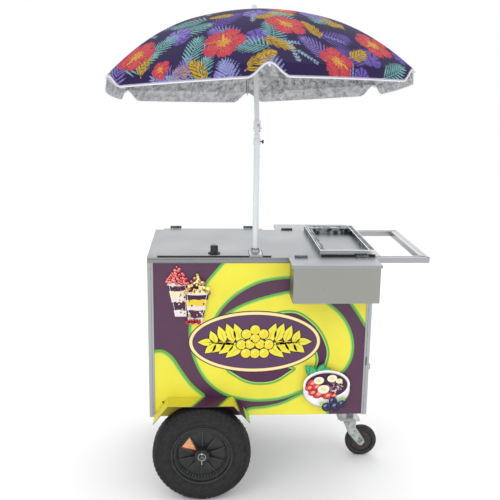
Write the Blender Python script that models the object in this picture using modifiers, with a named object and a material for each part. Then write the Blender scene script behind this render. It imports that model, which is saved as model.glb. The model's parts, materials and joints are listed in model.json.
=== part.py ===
"""Three-wheeled push vending cart with an insulated tank, side boxes, a handle and a folding umbrella.

Metres, +Z up. The cart is laid out with x = 0 at the left end of the body, y = 0 at the front
of the body and z = 0 on the ground. At the end the whole model is moved so that the middle of
its footprint is the origin.
"""

import math

import bmesh
import bpy
from mathutils import Matrix, Vector

# ---------------------------------------------------------------- driving dimensions (metres)

BODY_LENGTH = 0.800
BODY_DEPTH = 0.4725
DECK_TOP = 0.892
BODY_BOTTOM = 0.2916
SHEET = 0.002               # sheet metal of the body
FLANGE = 0.020              # folded edges that frame the printed panels
GAP = 0.0003                # between pieces that touch

CHASSIS_TUBE = 0.020

TANK_MOUTH = ((0.056, 0.106), (0.416, 0.434))
TANK_BOTTOM = 0.420
FOAM = 0.032

LID_LEFT, LID_RIGHT = 0.034, 0.435
LID_FRONT, LID_REAR = 0.004, 0.464
GASKET_HEIGHT = 0.0042
KNOB_X, KNOB_Y = 0.2335, 0.036
LID_HINGE_X = (0.082, 0.381)
HINGE_WIDTH = 0.044
LID_HINGE_Y, LID_HINGE_Z = 0.4780, 0.9032
HINGE_BARREL = 0.0036

POLE_X, POLE_Y = 0.380, 0.062
LOWER_POLE_RADIUS = 0.0105
UPPER_POLE_RADIUS = 0.0085
SOCKET_DEPTH = 0.300
KNUCKLE_HEIGHT = 1.335
CANOPY_TILT = math.radians(5.9)         # how far the canopy leans back at rest
TILT_HEADING = math.radians(18.9)       # the lean turns from straight back towards the left
RIBS = 6
CANOPY_RADIUS = 0.542
CANOPY_RISE = 0.2215
CANOPY_POWER = 2.35                     # the ribs' curve, 2 would be a parabola
RIB_TIP_LEVEL = 0.160                   # rib tips above the knuckle, along the pole
VALANCE = 0.038                         # how far the cloth hangs below the rib tips
CLOTH = 0.0012
CLOTH_INNER = 0.024                     # the cloth's hole at the crown
CLOTH_ROWS = (0.0, 0.15, 0.3, 0.45, 0.6, 0.75, 0.88, 1.0, 2.0)
RIB_RADIUS = 0.0022
RIB_DROP = 0.0064                       # rib's centre line below the cloth's outer face
RIB_HINGE_RADIUS = 0.018
STRETCHER_REACH = 0.180                 # where the stretchers meet the ribs
STRETCHER_RADIUS = 0.0018
RUNNER_RADIUS = 0.0198
RUNNER_PIVOT_RADIUS = 0.0222
RUNNER_PIVOT_DROP = 0.112               # runner pivots below the rib hinges, canopy open

BOX_LEFT, BOX_RIGHT = 0.500, 0.798
BOX_DEPTH = 0.110
BOX_BOTTOM = 0.757
BOX_LID_LEFT, BOX_LID_RIGHT = 0.4935, 0.803
BOX_LID_OVERHANG = 0.003
BOX_HINGE_X = (0.538, 0.756)

TRAY_LOW, TRAY_HIGH = (0.607, 0.016), (0.806, 0.4565)
TRAY_HEIGHT = 0.021
TRAY_SIDE_RAIL, TRAY_FRONT_RAIL, TRAY_REAR_RAIL = 0.022, 0.008, 0.060

HANDLE_REACH = 0.197
HANDLE_RAIL, HANDLE_GRIP = 0.026, 0.030
HANDLE_THICKNESS = 0.020

DOOR_OPENING = ((0.040, 0.325), (0.432, 0.615))
DOOR_OVERLAP = 0.008
DOOR_HINGE_Y = 0.4475

WHEEL_X = 0.190
WHEEL_Y = 0.050             # wheel's middle outside the body's front or rear plane
WHEEL_RADIUS = 0.1775
TYRE_WIDTH = 0.082
AXLE_RADIUS = 0.0085
AXLE_END = 0.1005           # axle's end outside the body's plane

CASTER_X, CASTER_TRAIL = 0.790, 0.048
CASTER_RADIUS = 0.0635
CASTER_WIDTH = 0.032
CASTER_PLATE_Z = 0.166

HOOD_REACH = 0.080
HOOD_OUTLINE = ((0.0174, 0.301), (0.070, 0.3665), (0.303, 0.3665), (0.362, 0.302))

TYRE_STEPS = 48             # straight sides of a turned tyre

# ---------------------------------------------------------------- scene, collections, materials

for old in list(bpy.data.objects):
    bpy.data.objects.remove(old, do_unlink=True)

PARTS = bpy.data.collections.new("push_vending_cart")
CUTTERS = bpy.data.collections.new("cutters")
for group in (PARTS, CUTTERS):
    bpy.context.scene.collection.children.link(group)

ORIGIN = bpy.data.objects.new("cart_origin", None)
PARTS.objects.link(ORIGIN)


def material(name, colour, roughness, metallic=0.0):
    made = bpy.data.materials.new(name)
    made.use_nodes = True
    shader = made.node_tree.nodes["Principled BSDF"]
    shader.inputs["Base Color"].default_value = (*colour, 1.0)
    shader.inputs["Roughness"].default_value = roughness
    shader.inputs["Metallic"].default_value = metallic
    return made


STEEL = material("brushed_stainless", (0.42, 0.43, 0.44), 0.38, 1.0)
POLISHED = material("polished_stainless", (0.62, 0.63, 0.64), 0.10, 1.0)
ZINC = material("zinc_plated", (0.50, 0.52, 0.50), 0.30, 1.0)
PAINTED = material("printed_panel", (0.11, 0.05, 0.10), 0.35)
BLACK_STEEL = material("black_steel", (0.03, 0.03, 0.03), 0.50)
BLACK_PLASTIC = material("black_plastic", (0.02, 0.02, 0.022), 0.40)
WHITE_PAINT = material("white_enamel", (0.80, 0.82, 0.83), 0.30)
RUBBER = material("black_rubber", (0.022, 0.022, 0.022), 0.75)
FOAM_YELLOW = material("insulation_foam", (0.70, 0.60, 0.35), 0.90)
LINER_WHITE = material("liner_plastic", (0.80, 0.80, 0.78), 0.45)
CLOTH_PRINT = material("canopy_cloth", (0.035, 0.025, 0.08), 0.80)

# ---------------------------------------------------------------- modelling helpers


def add(name, mesh, finish, parent=None):
    """A part from a mesh that is drawn in the cart's own coordinates."""
    part = bpy.data.objects.new(name, mesh)
    if finish is None:
        CUTTERS.objects.link(part)
        part.hide_render = True
        part.display_type = "WIRE"
    else:
        PARTS.objects.link(part)
        mesh.materials.append(finish)
    part.parent = parent or ORIGIN
    return part


def mesh_from(build, name):
    """A mesh from a function that fills a bmesh, with its faces pointing out."""
    shape = bmesh.new()
    build(shape)
    bmesh.ops.recalc_face_normals(shape, faces=shape.faces)
    mesh = bpy.data.meshes.new(name)
    shape.to_mesh(mesh)
    shape.free()
    return mesh


def block(name, low, high, finish=None, parent=None):
    low, high = Vector(low), Vector(high)

    def build(shape):
        bmesh.ops.create_cube(shape, size=1.0)
        bmesh.ops.scale(shape, vec=high - low, verts=shape.verts)
        bmesh.ops.translate(shape, vec=(low + high) / 2, verts=shape.verts)

    return add(name, mesh_from(build, name), finish, parent)


def rod(name, start, end, radius, finish=None, parent=None, sides=16, end_radius=None):
    start, end = Vector(start), Vector(end)
    along = end - start
    turn = along.to_track_quat("Z", "Y").to_matrix().to_4x4()

    def build(shape):
        bmesh.ops.create_cone(
            shape, cap_ends=True, cap_tris=False, segments=sides,
            radius1=radius, radius2=radius if end_radius is None else end_radius, depth=along.length,
        )
        bmesh.ops.transform(shape, matrix=Matrix.Translation((start + end) / 2) @ turn, verts=shape.verts)

    part = add(name, mesh_from(build, name), finish, parent)
    part.data.shade_smooth()
    part.data.set_sharp_from_angle(angle=math.radians(40))
    return part


def prism(name, outline, axis, low, high, finish=None, parent=None):
    """A flat outline extruded along an axis. The outline's two numbers are the two other axes,
    in the order XY, XZ or YZ."""
    curve = bpy.data.curves.new(name, "CURVE")
    curve.dimensions = "2D"
    curve.fill_mode = "BOTH"
    curve.extrude = (high - low) / 2
    spline = curve.splines.new("POLY")
    spline.points.add(len(outline) - 1)
    for point, (u, v) in zip(spline.points, outline):
        point.co = (u, v, 0.0, 1.0)
    spline.use_cyclic_u = True
    guide = bpy.data.objects.new(name + "_outline", curve)
    CUTTERS.objects.link(guide)
    bpy.context.view_layer.update()
    mesh = bpy.data.meshes.new_from_object(guide.evaluated_get(bpy.context.evaluated_depsgraph_get()))
    bpy.data.objects.remove(guide)
    turns = {
        "Z": Matrix.Identity(4),
        "Y": Matrix(((1, 0, 0, 0), (0, 0, -1, 0), (0, 1, 0, 0), (0, 0, 0, 1))),
        "X": Matrix(((0, 0, 1, 0), (1, 0, 0, 0), (0, 1, 0, 0), (0, 0, 0, 1))),
    }
    middle = Vector([(low + high) / 2 if letter == axis else 0.0 for letter in "XYZ"])
    shape = bmesh.new()
    shape.from_mesh(mesh)
    bmesh.ops.remove_doubles(shape, verts=shape.verts, dist=0.00001)
    bmesh.ops.transform(shape, matrix=Matrix.Translation(middle) @ turns[axis], verts=shape.verts)
    bmesh.ops.recalc_face_normals(shape, faces=shape.faces)
    shape.to_mesh(mesh)
    shape.free()
    mesh.materials.clear()
    mesh.name = name
    return add(name, mesh, finish, parent)


def turned(name, profile, place, finish=None, parent=None, steps=32, flip=False, closed=True, flat_foot=False):
    """A profile of (radius, height) points turned about its own Z axis. It is then laid down so
    that its Z points to the front, -Y, or to the rear with flip, unless place is a matrix.
    With flat_foot the many-sided wheel stands on the middle of one side, at its true radius."""
    half_step = math.pi / steps if flat_foot else 0.0
    mesh = bpy.data.meshes.new(name)
    edges = [(i, i + 1) for i in range(len(profile) - 1)]
    if closed:
        edges.append((len(profile) - 1, 0))
    mesh.from_pydata([(radius, radius * math.tan(half_step), height) for radius, height in profile], edges, [])
    part = add(name, mesh, finish, parent)
    screw = part.modifiers.new("turn", "SCREW")
    screw.steps = screw.render_steps = steps
    screw.angle = math.tau
    screw.use_merge_vertices = True
    screw.merge_threshold = 0.00001
    screw.use_smooth_shade = True
    if isinstance(place, Matrix):
        part.matrix_local = place
    else:
        part.location = place
        part.rotation_euler = (-math.pi / 2 if flip else math.pi / 2, 0.0, 0.0)
    return part


def tube_along(name, points, radius, finish, parent=None, sides=8):
    """A round wire or tube along points, as a mesh."""
    curve = bpy.data.curves.new(name, "CURVE")
    curve.dimensions = "3D"
    curve.bevel_depth = radius
    curve.bevel_resolution = sides // 2 - 2
    curve.use_fill_caps = True
    spline = curve.splines.new("POLY")
    spline.points.add(len(points) - 1)
    for knot, point in zip(spline.points, points):
        knot.co = (*point, 1.0)
    guide = bpy.data.objects.new(name + "_line", curve)
    CUTTERS.objects.link(guide)
    bpy.context.view_layer.update()
    mesh = bpy.data.meshes.new_from_object(guide.evaluated_get(bpy.context.evaluated_depsgraph_get()))
    bpy.data.objects.remove(guide)
    shape = bmesh.new()
    shape.from_mesh(mesh)
    bmesh.ops.remove_doubles(shape, verts=shape.verts, dist=0.00001)
    bmesh.ops.recalc_face_normals(shape, faces=shape.faces)
    shape.to_mesh(mesh)
    shape.free()
    mesh.materials.clear()
    part = add(name, mesh, finish, parent)
    part.data.shade_smooth()
    part.data.set_sharp_from_angle(angle=math.radians(50))
    return part


def combine(part, tool, operation):
    change = part.modifiers.new(tool.name, "BOOLEAN")
    change.operation = operation
    change.object = tool
    return part


def cut(part, *tools):
    for tool in tools:
        combine(part, tool, "DIFFERENCE")
    return part


def weld(part, *tools):
    for tool in tools:
        combine(part, tool, "UNION")
    return part


def pivot_on(part, point):
    """Moves a part's origin onto its joint's axis, without moving the part."""
    part.data.transform(Matrix.Translation(-Vector(point)))
    part.location = Vector(part.location) + Vector(point)
    return part


def mirror_y(y):
    """The same place on the rear side of the body."""
    return BODY_DEPTH - y


def side_y(side, y):
    return y if side == "front" else mirror_y(y)


def y_span(side, a, b):
    """Low and high y of a span given for the front side."""
    return sorted((side_y(side, a), side_y(side, b)))


# ---------------------------------------------------------------- body of sheet metal


def end_panel(name, x_web, inward):
    """A folded sheet: the web is the end wall, and its two flanges frame the printed panels."""
    flange = x_web + inward * FLANGE
    inner = x_web + inward * SHEET
    outline = [
        (x_web, 0.0), (flange, 0.0), (flange, SHEET), (inner, SHEET),
        (inner, BODY_DEPTH - SHEET), (flange, BODY_DEPTH - SHEET), (flange, BODY_DEPTH), (x_web, BODY_DEPTH),
    ]
    return prism(name, outline, "Z", BODY_BOTTOM, DECK_TOP - FLANGE - GAP, STEEL)


def body_shell():
    end_panel("left_end_panel", 0.0, 1)
    right = end_panel("right_end_panel", BODY_LENGTH, -1)
    (door_low_y, door_low_z), (door_high_y, door_high_z) = DOOR_OPENING
    cut(right, block("door_opening", (BODY_LENGTH - 0.01, door_low_y, door_low_z),
                     (BODY_LENGTH + 0.01, door_high_y, door_high_z)))

    panel_y = SHEET + GAP
    inside = SHEET + 2 * GAP
    for side in ("front", "rear"):
        y_low, y_high = y_span(side, panel_y, panel_y + SHEET)
        block(f"{side}_panel", (inside, y_low, BODY_BOTTOM + 0.0015),
              (BODY_LENGTH - inside, y_high, DECK_TOP - SHEET - GAP), PAINTED)

    deck = block("deck", (0.0, 0.0, DECK_TOP - FLANGE), (BODY_LENGTH, BODY_DEPTH, DECK_TOP), STEEL)
    hollow = block("deck_hollow", (SHEET, SHEET, DECK_TOP - 0.1),
                   (BODY_LENGTH - SHEET, BODY_DEPTH - SHEET, DECK_TOP - SHEET))
    (mouth_left, mouth_front), (mouth_right, mouth_rear) = TANK_MOUTH
    mouth = block("tank_mouth", (mouth_left, mouth_front, DECK_TOP - 0.05),
                  (mouth_right, mouth_rear, DECK_TOP + 0.05))
    pole_hole = rod("pole_hole", (POLE_X, POLE_Y, DECK_TOP - 0.05), (POLE_X, POLE_Y, DECK_TOP + 0.05),
                    0.0153, sides=24)
    cut(deck, hollow, mouth, pole_hole)
    for number, middle in enumerate(LID_HINGE_X):
        leaf = block(f"fixed_leaf_{number}", (middle - HINGE_WIDTH / 2, BODY_DEPTH - 0.0005, DECK_TOP - 0.018),
                     (middle + HINGE_WIDTH / 2, BODY_DEPTH + 0.0012, DECK_TOP + 0.003))
        weld(deck, leaf)


def chassis():
    """A ring of square tube inside the foot of the body, with two cross tubes, and its floor."""
    low, high = SHEET + GAP, CHASSIS_TUBE
    front = 2 * (SHEET + GAP)
    top = BODY_BOTTOM + 0.0005 + CHASSIS_TUBE
    frame = block("chassis_frame", (low, front, BODY_BOTTOM + 0.0005),
                  (BODY_LENGTH - low, mirror_y(front), top), BLACK_STEEL)
    bays = ((low + high, 0.150), (0.230, 0.700), (0.720, BODY_LENGTH - low - high))
    for number, (left, right) in enumerate(bays):
        cut(frame, block(f"chassis_bay_{number}", (left, front + high, BODY_BOTTOM - 0.05),
                         (right, mirror_y(front + high), top + 0.05)))
    block("floor_plate", (low, front, top + GAP), (BODY_LENGTH - low, mirror_y(front), top + GAP + SHEET), STEEL)


def tank():
    (left, front), (right, rear) = TANK_MOUTH
    top = DECK_TOP - SHEET - GAP
    liner = block("tank_liner", (left - SHEET, front - SHEET, TANK_BOTTOM),
                  (right + SHEET, rear + SHEET, top), STEEL)
    cut(liner, block("tank_space", (left, front, TANK_BOTTOM + SHEET), (right, rear, top + 0.05)))
    foam = block("tank_insulation", (left - FOAM, front - 0.018, TANK_BOTTOM - FOAM),
                 (right + FOAM, rear + FOAM, top - 0.004), FOAM_YELLOW)
    seat = SHEET + GAP
    cut(foam, block("foam_space", (left - seat, front - seat, TANK_BOTTOM - GAP),
                    (right + seat, rear + seat, top + 0.05)))


def main_lid():
    gasket_low = DECK_TOP + GAP
    plate_low = gasket_low + GASKET_HEIGHT + GAP
    plate_high = plate_low + SHEET
    pole_clearance = 0.0245
    notch_back = POLE_Y + 0.0225

    gasket = block("lid_gasket", (LID_LEFT + 0.002, LID_FRONT + 0.003, gasket_low),
                   (LID_RIGHT - 0.002, LID_REAR - 0.003, gasket_low + GASKET_HEIGHT), RUBBER)
    cut(gasket,
        block("gasket_middle", (LID_LEFT + 0.014, LID_FRONT + 0.015, DECK_TOP - 0.01),
              (LID_RIGHT - 0.014, LID_REAR - 0.015, DECK_TOP + 0.02)),
        block("gasket_notch", (POLE_X - pole_clearance, LID_FRONT - 0.02, DECK_TOP - 0.01),
              (POLE_X + pole_clearance, notch_back, DECK_TOP + 0.02)))

    skin = block("lid_skin", (LID_LEFT, LID_FRONT, plate_low), (LID_RIGHT, LID_REAR, plate_high), STEEL)
    cut(skin, block("lid_notch", (POLE_X - pole_clearance, LID_FRONT - 0.02, plate_low - 0.01),
                    (POLE_X + pole_clearance, notch_back, plate_high + 0.01)))
    for number, middle in enumerate(LID_HINGE_X):
        leaf = block(f"moving_leaf_{number}", (middle - HINGE_WIDTH / 2, LID_REAR - 0.022, plate_high - 0.0005),
                     (middle + HINGE_WIDTH / 2, LID_HINGE_Y, plate_high + 0.0013))
        barrel = rod(f"lid_barrel_{number}", (middle - HINGE_WIDTH / 2, LID_HINGE_Y, LID_HINGE_Z),
                     (middle + HINGE_WIDTH / 2, LID_HINGE_Y, LID_HINGE_Z), HINGE_BARREL, sides=12)
        weld(skin, leaf, barrel)

    (left, front), (right, rear) = TANK_MOUTH
    block("lid_liner", (left + 0.006, front + 0.007, DECK_TOP - 0.030),
          (right - 0.006, rear - 0.010, plate_low - GAP), LINER_WHITE)

    knob_profile = [(0.0, 0.029), (0.0105, 0.029), (0.0135, 0.0265), (0.0135, 0.0090), (0.0155, 0.0055),
                    (0.0220, 0.0025), (0.0220, 0.0), (0.0, 0.0)]
    turned("lid_knob", knob_profile, Matrix.Translation((KNOB_X, KNOB_Y, plate_high + GAP)),
           BLACK_PLASTIC, steps=24, closed=False)


def side_box(side):
    """A hanging sheet-metal box with a hinged lid on the front or the rear of the body."""
    outer, inner = -BOX_DEPTH, -GAP
    rim = DECK_TOP - SHEET - GAP
    y_low, y_high = y_span(side, outer, inner)
    body = block(f"box_{side}", (BOX_LEFT, y_low, BOX_BOTTOM), (BOX_RIGHT, y_high, rim), STEEL)
    cut(body, block(f"box_{side}_space", (BOX_LEFT + SHEET, y_low + SHEET, BOX_BOTTOM + SHEET),
                    (BOX_RIGHT - SHEET, y_high - SHEET, rim + 0.05)))

    lip = BOX_LID_OVERHANG - GAP
    y_low, y_high = y_span(side, outer - BOX_LID_OVERHANG, -2 * GAP)
    lid = block(f"box_lid_{side}", (BOX_LID_LEFT, y_low, DECK_TOP - 0.010), (BOX_LID_RIGHT, y_high, DECK_TOP), STEEL)
    space_low, space_high = y_span(side, outer - BOX_LID_OVERHANG + lip / 2, 0.01)
    cut(lid, block(f"box_lid_{side}_space", (BOX_LID_LEFT + SHEET, space_low, DECK_TOP - 0.05),
                   (BOX_LID_RIGHT - SHEET, space_high, DECK_TOP - SHEET)))
    axis_z = DECK_TOP + HINGE_BARREL + GAP
    for number, middle in enumerate(BOX_HINGE_X):
        leaf_low, leaf_high = y_span(side, -0.020, -0.0015)
        leaf = block(f"box_leaf_{side}_{number}", (middle - HINGE_WIDTH / 2, leaf_low, DECK_TOP - 0.0005),
                     (middle + HINGE_WIDTH / 2, leaf_high, DECK_TOP + 0.0015))
        barrel = rod(f"box_barrel_{side}_{number}", (middle - HINGE_WIDTH / 2, side_y(side, 0.0), axis_z),
                     (middle + HINGE_WIDTH / 2, side_y(side, 0.0), axis_z), HINGE_BARREL, sides=12)
        weld(lid, leaf, barrel)


def tray_frame():
    low_z = DECK_TOP + GAP
    frame = block("tray_frame", (*TRAY_LOW, low_z), (*TRAY_HIGH, low_z + TRAY_HEIGHT), POLISHED)
    cut(frame, block("tray_space", (TRAY_LOW[0] + TRAY_SIDE_RAIL, TRAY_LOW[1] + TRAY_FRONT_RAIL, low_z - 0.01),
                     (TRAY_HIGH[0] - TRAY_SIDE_RAIL, TRAY_HIGH[1] - TRAY_REAR_RAIL, low_z + 0.1)))


def handle():
    left, right = BODY_LENGTH + GAP, BODY_LENGTH + HANDLE_REACH
    frame = block("handle_frame", (left, 0.0, DECK_TOP - HANDLE_THICKNESS), (right, BODY_DEPTH, DECK_TOP), STEEL)
    cut(frame, block("handle_gap", (left + HANDLE_RAIL, HANDLE_RAIL, DECK_TOP - 0.05),
                     (right - HANDLE_GRIP, mirror_y(HANDLE_RAIL), DECK_TOP + 0.05)))


def service_door():
    (low_y, low_z), (high_y, high_z) = DOOR_OPENING
    face = BODY_LENGTH + GAP
    door = block("service_door", (face, low_y - DOOR_OVERLAP, low_z - DOOR_OVERLAP),
                 (face + SHEET, high_y + DOOR_OVERLAP, high_z + DOOR_OVERLAP), STEEL)
    clear = 0.006
    tray = block("door_tray", (face - 0.016, low_y + clear, low_z + clear),
                 (face + SHEET / 2, high_y - clear, high_z - clear))
    tray_hollow = block("door_tray_hollow", (face - 0.03, low_y + clear + SHEET, low_z + clear + SHEET),
                        (face - GAP, high_y - clear - SHEET, high_z - clear - SHEET))
    weld(door, tray)
    cut(door, tray_hollow)
    hinge_x = face + SHEET + HINGE_BARREL
    for number, z in enumerate((low_z + 0.045, high_z - 0.045)):
        leaf = block(f"door_leaf_{number}", (face + SHEET - 0.0005, high_y - 0.015, z - 0.02),
                     (face + SHEET + 0.0013, DOOR_HINGE_Y, z + 0.02))
        barrel = rod(f"door_barrel_{number}", (hinge_x, DOOR_HINGE_Y, z - 0.02), (hinge_x, DOOR_HINGE_Y, z + 0.02),
                     HINGE_BARREL, sides=12)
        weld(door, leaf, barrel)

    surface = face + SHEET + GAP
    reach, wire, pull_y, middle_z, half = 0.0130, 0.0022, 0.052, 0.460, 0.0125
    bend = 0.005
    line = [(surface, pull_y, middle_z + half), (surface + reach - bend, pull_y, middle_z + half),
            (surface + reach, pull_y, middle_z + half - bend), (surface + reach, pull_y, middle_z - half + bend),
            (surface + reach - bend, pull_y, middle_z - half), (surface, pull_y, middle_z - half)]
    tube_along("door_pull", line, wire, ZINC)


# ---------------------------------------------------------------- running gear


def wheel_hood(side):
    """Bent sheet over a wheel, fixed to the printed panel."""
    y_low, y_high = y_span(side, -HOOD_REACH, -GAP)

    def build(shape):
        rows = [[shape.verts.new((x, y, z)) for x, z in HOOD_OUTLINE] for y in (y_low, y_high)]
        for near, far in zip(zip(rows[0], rows[0][1:]), zip(rows[1], rows[1][1:])):
            shape.faces.new((near[0], near[1], far[1], far[0]))

    hood = add(f"hood_{side}", mesh_from(build, f"hood_{side}"), PAINTED)
    thick = hood.modifiers.new("sheet", "SOLIDIFY")
    thick.thickness = SHEET
    thick.offset = 0.0
    thick.use_even_offset = True


def axle_and_cradle():
    foot, web = 0.1575, 0.004
    outer, inner = 0.028, 0.034
    top = BODY_BOTTOM - GAP
    outline = [
        (outer, foot), (inner, foot), (inner, top - web), (mirror_y(inner), top - web), (mirror_y(inner), foot),
        (mirror_y(outer), foot), (mirror_y(outer), top), (outer, top),
    ]
    cradle = prism("axle_cradle", outline, "X", WHEEL_X - 0.030, WHEEL_X + 0.030, BLACK_STEEL)
    cut(cradle, rod("axle_holes", (WHEEL_X, -0.05, WHEEL_RADIUS), (WHEEL_X, BODY_DEPTH + 0.05, WHEEL_RADIUS),
                    AXLE_RADIUS + GAP, sides=24))
    axle = rod("axle", (WHEEL_X, -AXLE_END, WHEEL_RADIUS), (WHEEL_X, mirror_y(-AXLE_END), WHEEL_RADIUS),
               AXLE_RADIUS, ZINC, sides=24)
    for side in ("front", "rear"):
        y = side_y(side, -0.0945)
        cut(axle, rod(f"pin_hole_{side}", (WHEEL_X, y, WHEEL_RADIUS - 0.03), (WHEEL_X, y, WHEEL_RADIUS + 0.03),
                      0.0029, sides=12))


def wheel(side):
    """Pneumatic tyre on a plastic rim. The profile's height runs outwards from the wheel's middle."""
    centre = (WHEEL_X, side_y(side, -WHEEL_Y), WHEEL_RADIUS)
    flip = side == "rear"
    half, bead = TYRE_WIDTH / 2, 0.104
    shoulder = WHEEL_RADIUS - 0.012
    tyre_profile = [
        (bead, 0.027), (0.112, 0.033), (0.132, 0.0395), (0.150, half), (shoulder, half - 0.004),
        (WHEEL_RADIUS - 0.003, half - 0.015), (WHEEL_RADIUS, half - 0.028), (WHEEL_RADIUS, 0.028 - half),
        (WHEEL_RADIUS - 0.003, 0.015 - half), (shoulder, 0.004 - half), (0.150, -half),
        (0.132, -0.0395), (0.112, -0.033), (bead, -0.027),
    ]
    turned(f"tyre_{side}", tyre_profile, centre, RUBBER, steps=TYRE_STEPS, flip=flip, flat_foot=True)
    bore, hub, lip = AXLE_RADIUS + 0.0008, 0.026, bead - GAP * 4
    rim_profile = [
        (bore, 0.0395), (hub, 0.0395), (hub + 0.002, 0.012), (0.086, 0.012), (0.094, 0.0265), (lip, 0.0265),
        (lip, -0.0265), (0.094, -0.0265), (0.086, -0.012), (hub + 0.002, -0.012), (hub, -0.0395), (bore, -0.0395),
    ]
    turned(f"rim_{side}", rim_profile, centre, BLACK_PLASTIC, steps=32, flip=flip)

    y_pin, y_ring = side_y(side, -0.0945), side_y(side, -0.1035)
    top = WHEEL_RADIUS + 0.0195
    pin = rod(f"linch_pin_{side}", (WHEEL_X, y_pin, WHEEL_RADIUS - 0.028), (WHEEL_X, y_pin, top + 0.005), 0.0025,
              ZINC, sides=10)
    head_low, head_high = sorted((y_pin, y_ring))
    head = rod(f"pin_head_{side}", (WHEEL_X, head_low - 0.003, top), (WHEEL_X, head_high + 0.003, top), 0.0042, sides=10)
    ring = turned(f"pin_ring_{side}",
                  [(0.0135 + 0.0016 * math.cos(a), -0.0016 * math.sin(a)) for a in
                   (math.tau * step / 8 for step in range(8))],
                  (WHEEL_X, y_ring, WHEEL_RADIUS + 0.006), steps=20)
    weld(pin, head, ring)


def caster():
    """A swivelling caster below a square leg at the middle of the right end."""
    y = BODY_DEPTH / 2
    leg_low, leg_high = CASTER_X - 0.012, CASTER_X + 0.012
    foot = CASTER_PLATE_Z + 0.004 + GAP
    top = BODY_BOTTOM - GAP
    bracket = block("caster_bracket", (leg_low, y - 0.012, foot), (leg_high, y + 0.012, top), STEEL)
    strut = prism("caster_strut", [(0.700, top), (0.716, top), (leg_low + 0.004, 0.206), (leg_low + 0.004, 0.190)],
                  "Y", y - 0.010, y + 0.010)
    shoe = block("caster_shoe", (0.735, y - 0.038, foot), (leg_high, y + 0.038, foot + 0.005))
    head = block("caster_head", (0.690, y - 0.030, top - 0.004), (leg_high - 0.002, y + 0.030, top))
    weld(bracket, shoe, head, strut)

    plate = block("caster_plate", (CASTER_X - 0.048, y - 0.040, CASTER_PLATE_Z),
                  (CASTER_X + 0.034, y + 0.040, CASTER_PLATE_Z + 0.004), ZINC)
    race = rod("caster_race", (CASTER_X, y, CASTER_PLATE_Z - 0.010), (CASTER_X, y, CASTER_PLATE_Z + 0.001),
               0.0225, sides=24)
    weld(plate, race)

    wheel_x = CASTER_X + CASTER_TRAIL
    crown_low, crown_high = 0.1375, CASTER_PLATE_Z - 0.010 - GAP
    fork = rod("caster_fork", (CASTER_X, y, crown_low), (CASTER_X, y, crown_high), 0.0245, ZINC, sides=24)
    tip = 0.013
    cheek_outline = [
        (CASTER_X - 0.022, crown_high - 0.002), (CASTER_X - 0.022, 0.135), (CASTER_X - 0.006, 0.100),
        (wheel_x - 0.012, CASTER_RADIUS - tip), (wheel_x + 0.002, CASTER_RADIUS - tip - 0.002),
        (wheel_x + tip, CASTER_RADIUS), (wheel_x + 0.010, CASTER_RADIUS + 0.011), (CASTER_X + 0.022, 0.128),
        (CASTER_X + 0.022, crown_high - 0.002),
    ]
    inner, outer = CASTER_WIDTH / 2 + 0.003, CASTER_WIDTH / 2 + 0.0055
    for name, sign in (("near", -1), ("far", 1)):
        low, high = sorted((y + sign * inner, y + sign * outer))
        weld(fork, prism(f"fork_cheek_{name}", cheek_outline, "Y", low, high))
    cut(fork, rod("fork_bolt_hole", (wheel_x, y - 0.05, CASTER_RADIUS), (wheel_x, y + 0.05, CASTER_RADIUS),
                  0.0043, sides=16))
    pivot_on(fork, (CASTER_X, y, CASTER_PLATE_Z))

    half = CASTER_WIDTH / 2
    profile = [
        (0.0050, half), (0.014, half), (0.016, half - 0.006), (0.042, half - 0.006), (0.046, half - 0.001),
        (0.056, half - 0.001), (0.0625, half - 0.006), (CASTER_RADIUS, half - 0.012),
        (CASTER_RADIUS, 0.012 - half), (0.0625, 0.006 - half), (0.056, 0.001 - half), (0.046, 0.001 - half),
        (0.042, 0.006 - half), (0.016, 0.006 - half), (0.014, -half), (0.0050, -half),
    ]
    turned("caster_wheel", profile, (wheel_x, y, CASTER_RADIUS), RUBBER, steps=40, flat_foot=True)

    bolt = rod("caster_bolt", (wheel_x, y - outer - 0.007, CASTER_RADIUS), (wheel_x, y + outer + 0.003, CASTER_RADIUS),
               0.0040, ZINC, sides=16)
    weld(bolt, rod("bolt_head", (wheel_x, y - outer - 0.0072, CASTER_RADIUS), (wheel_x, y - outer - GAP, CASTER_RADIUS),
                   0.0078, sides=6))


# ---------------------------------------------------------------- umbrella


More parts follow.
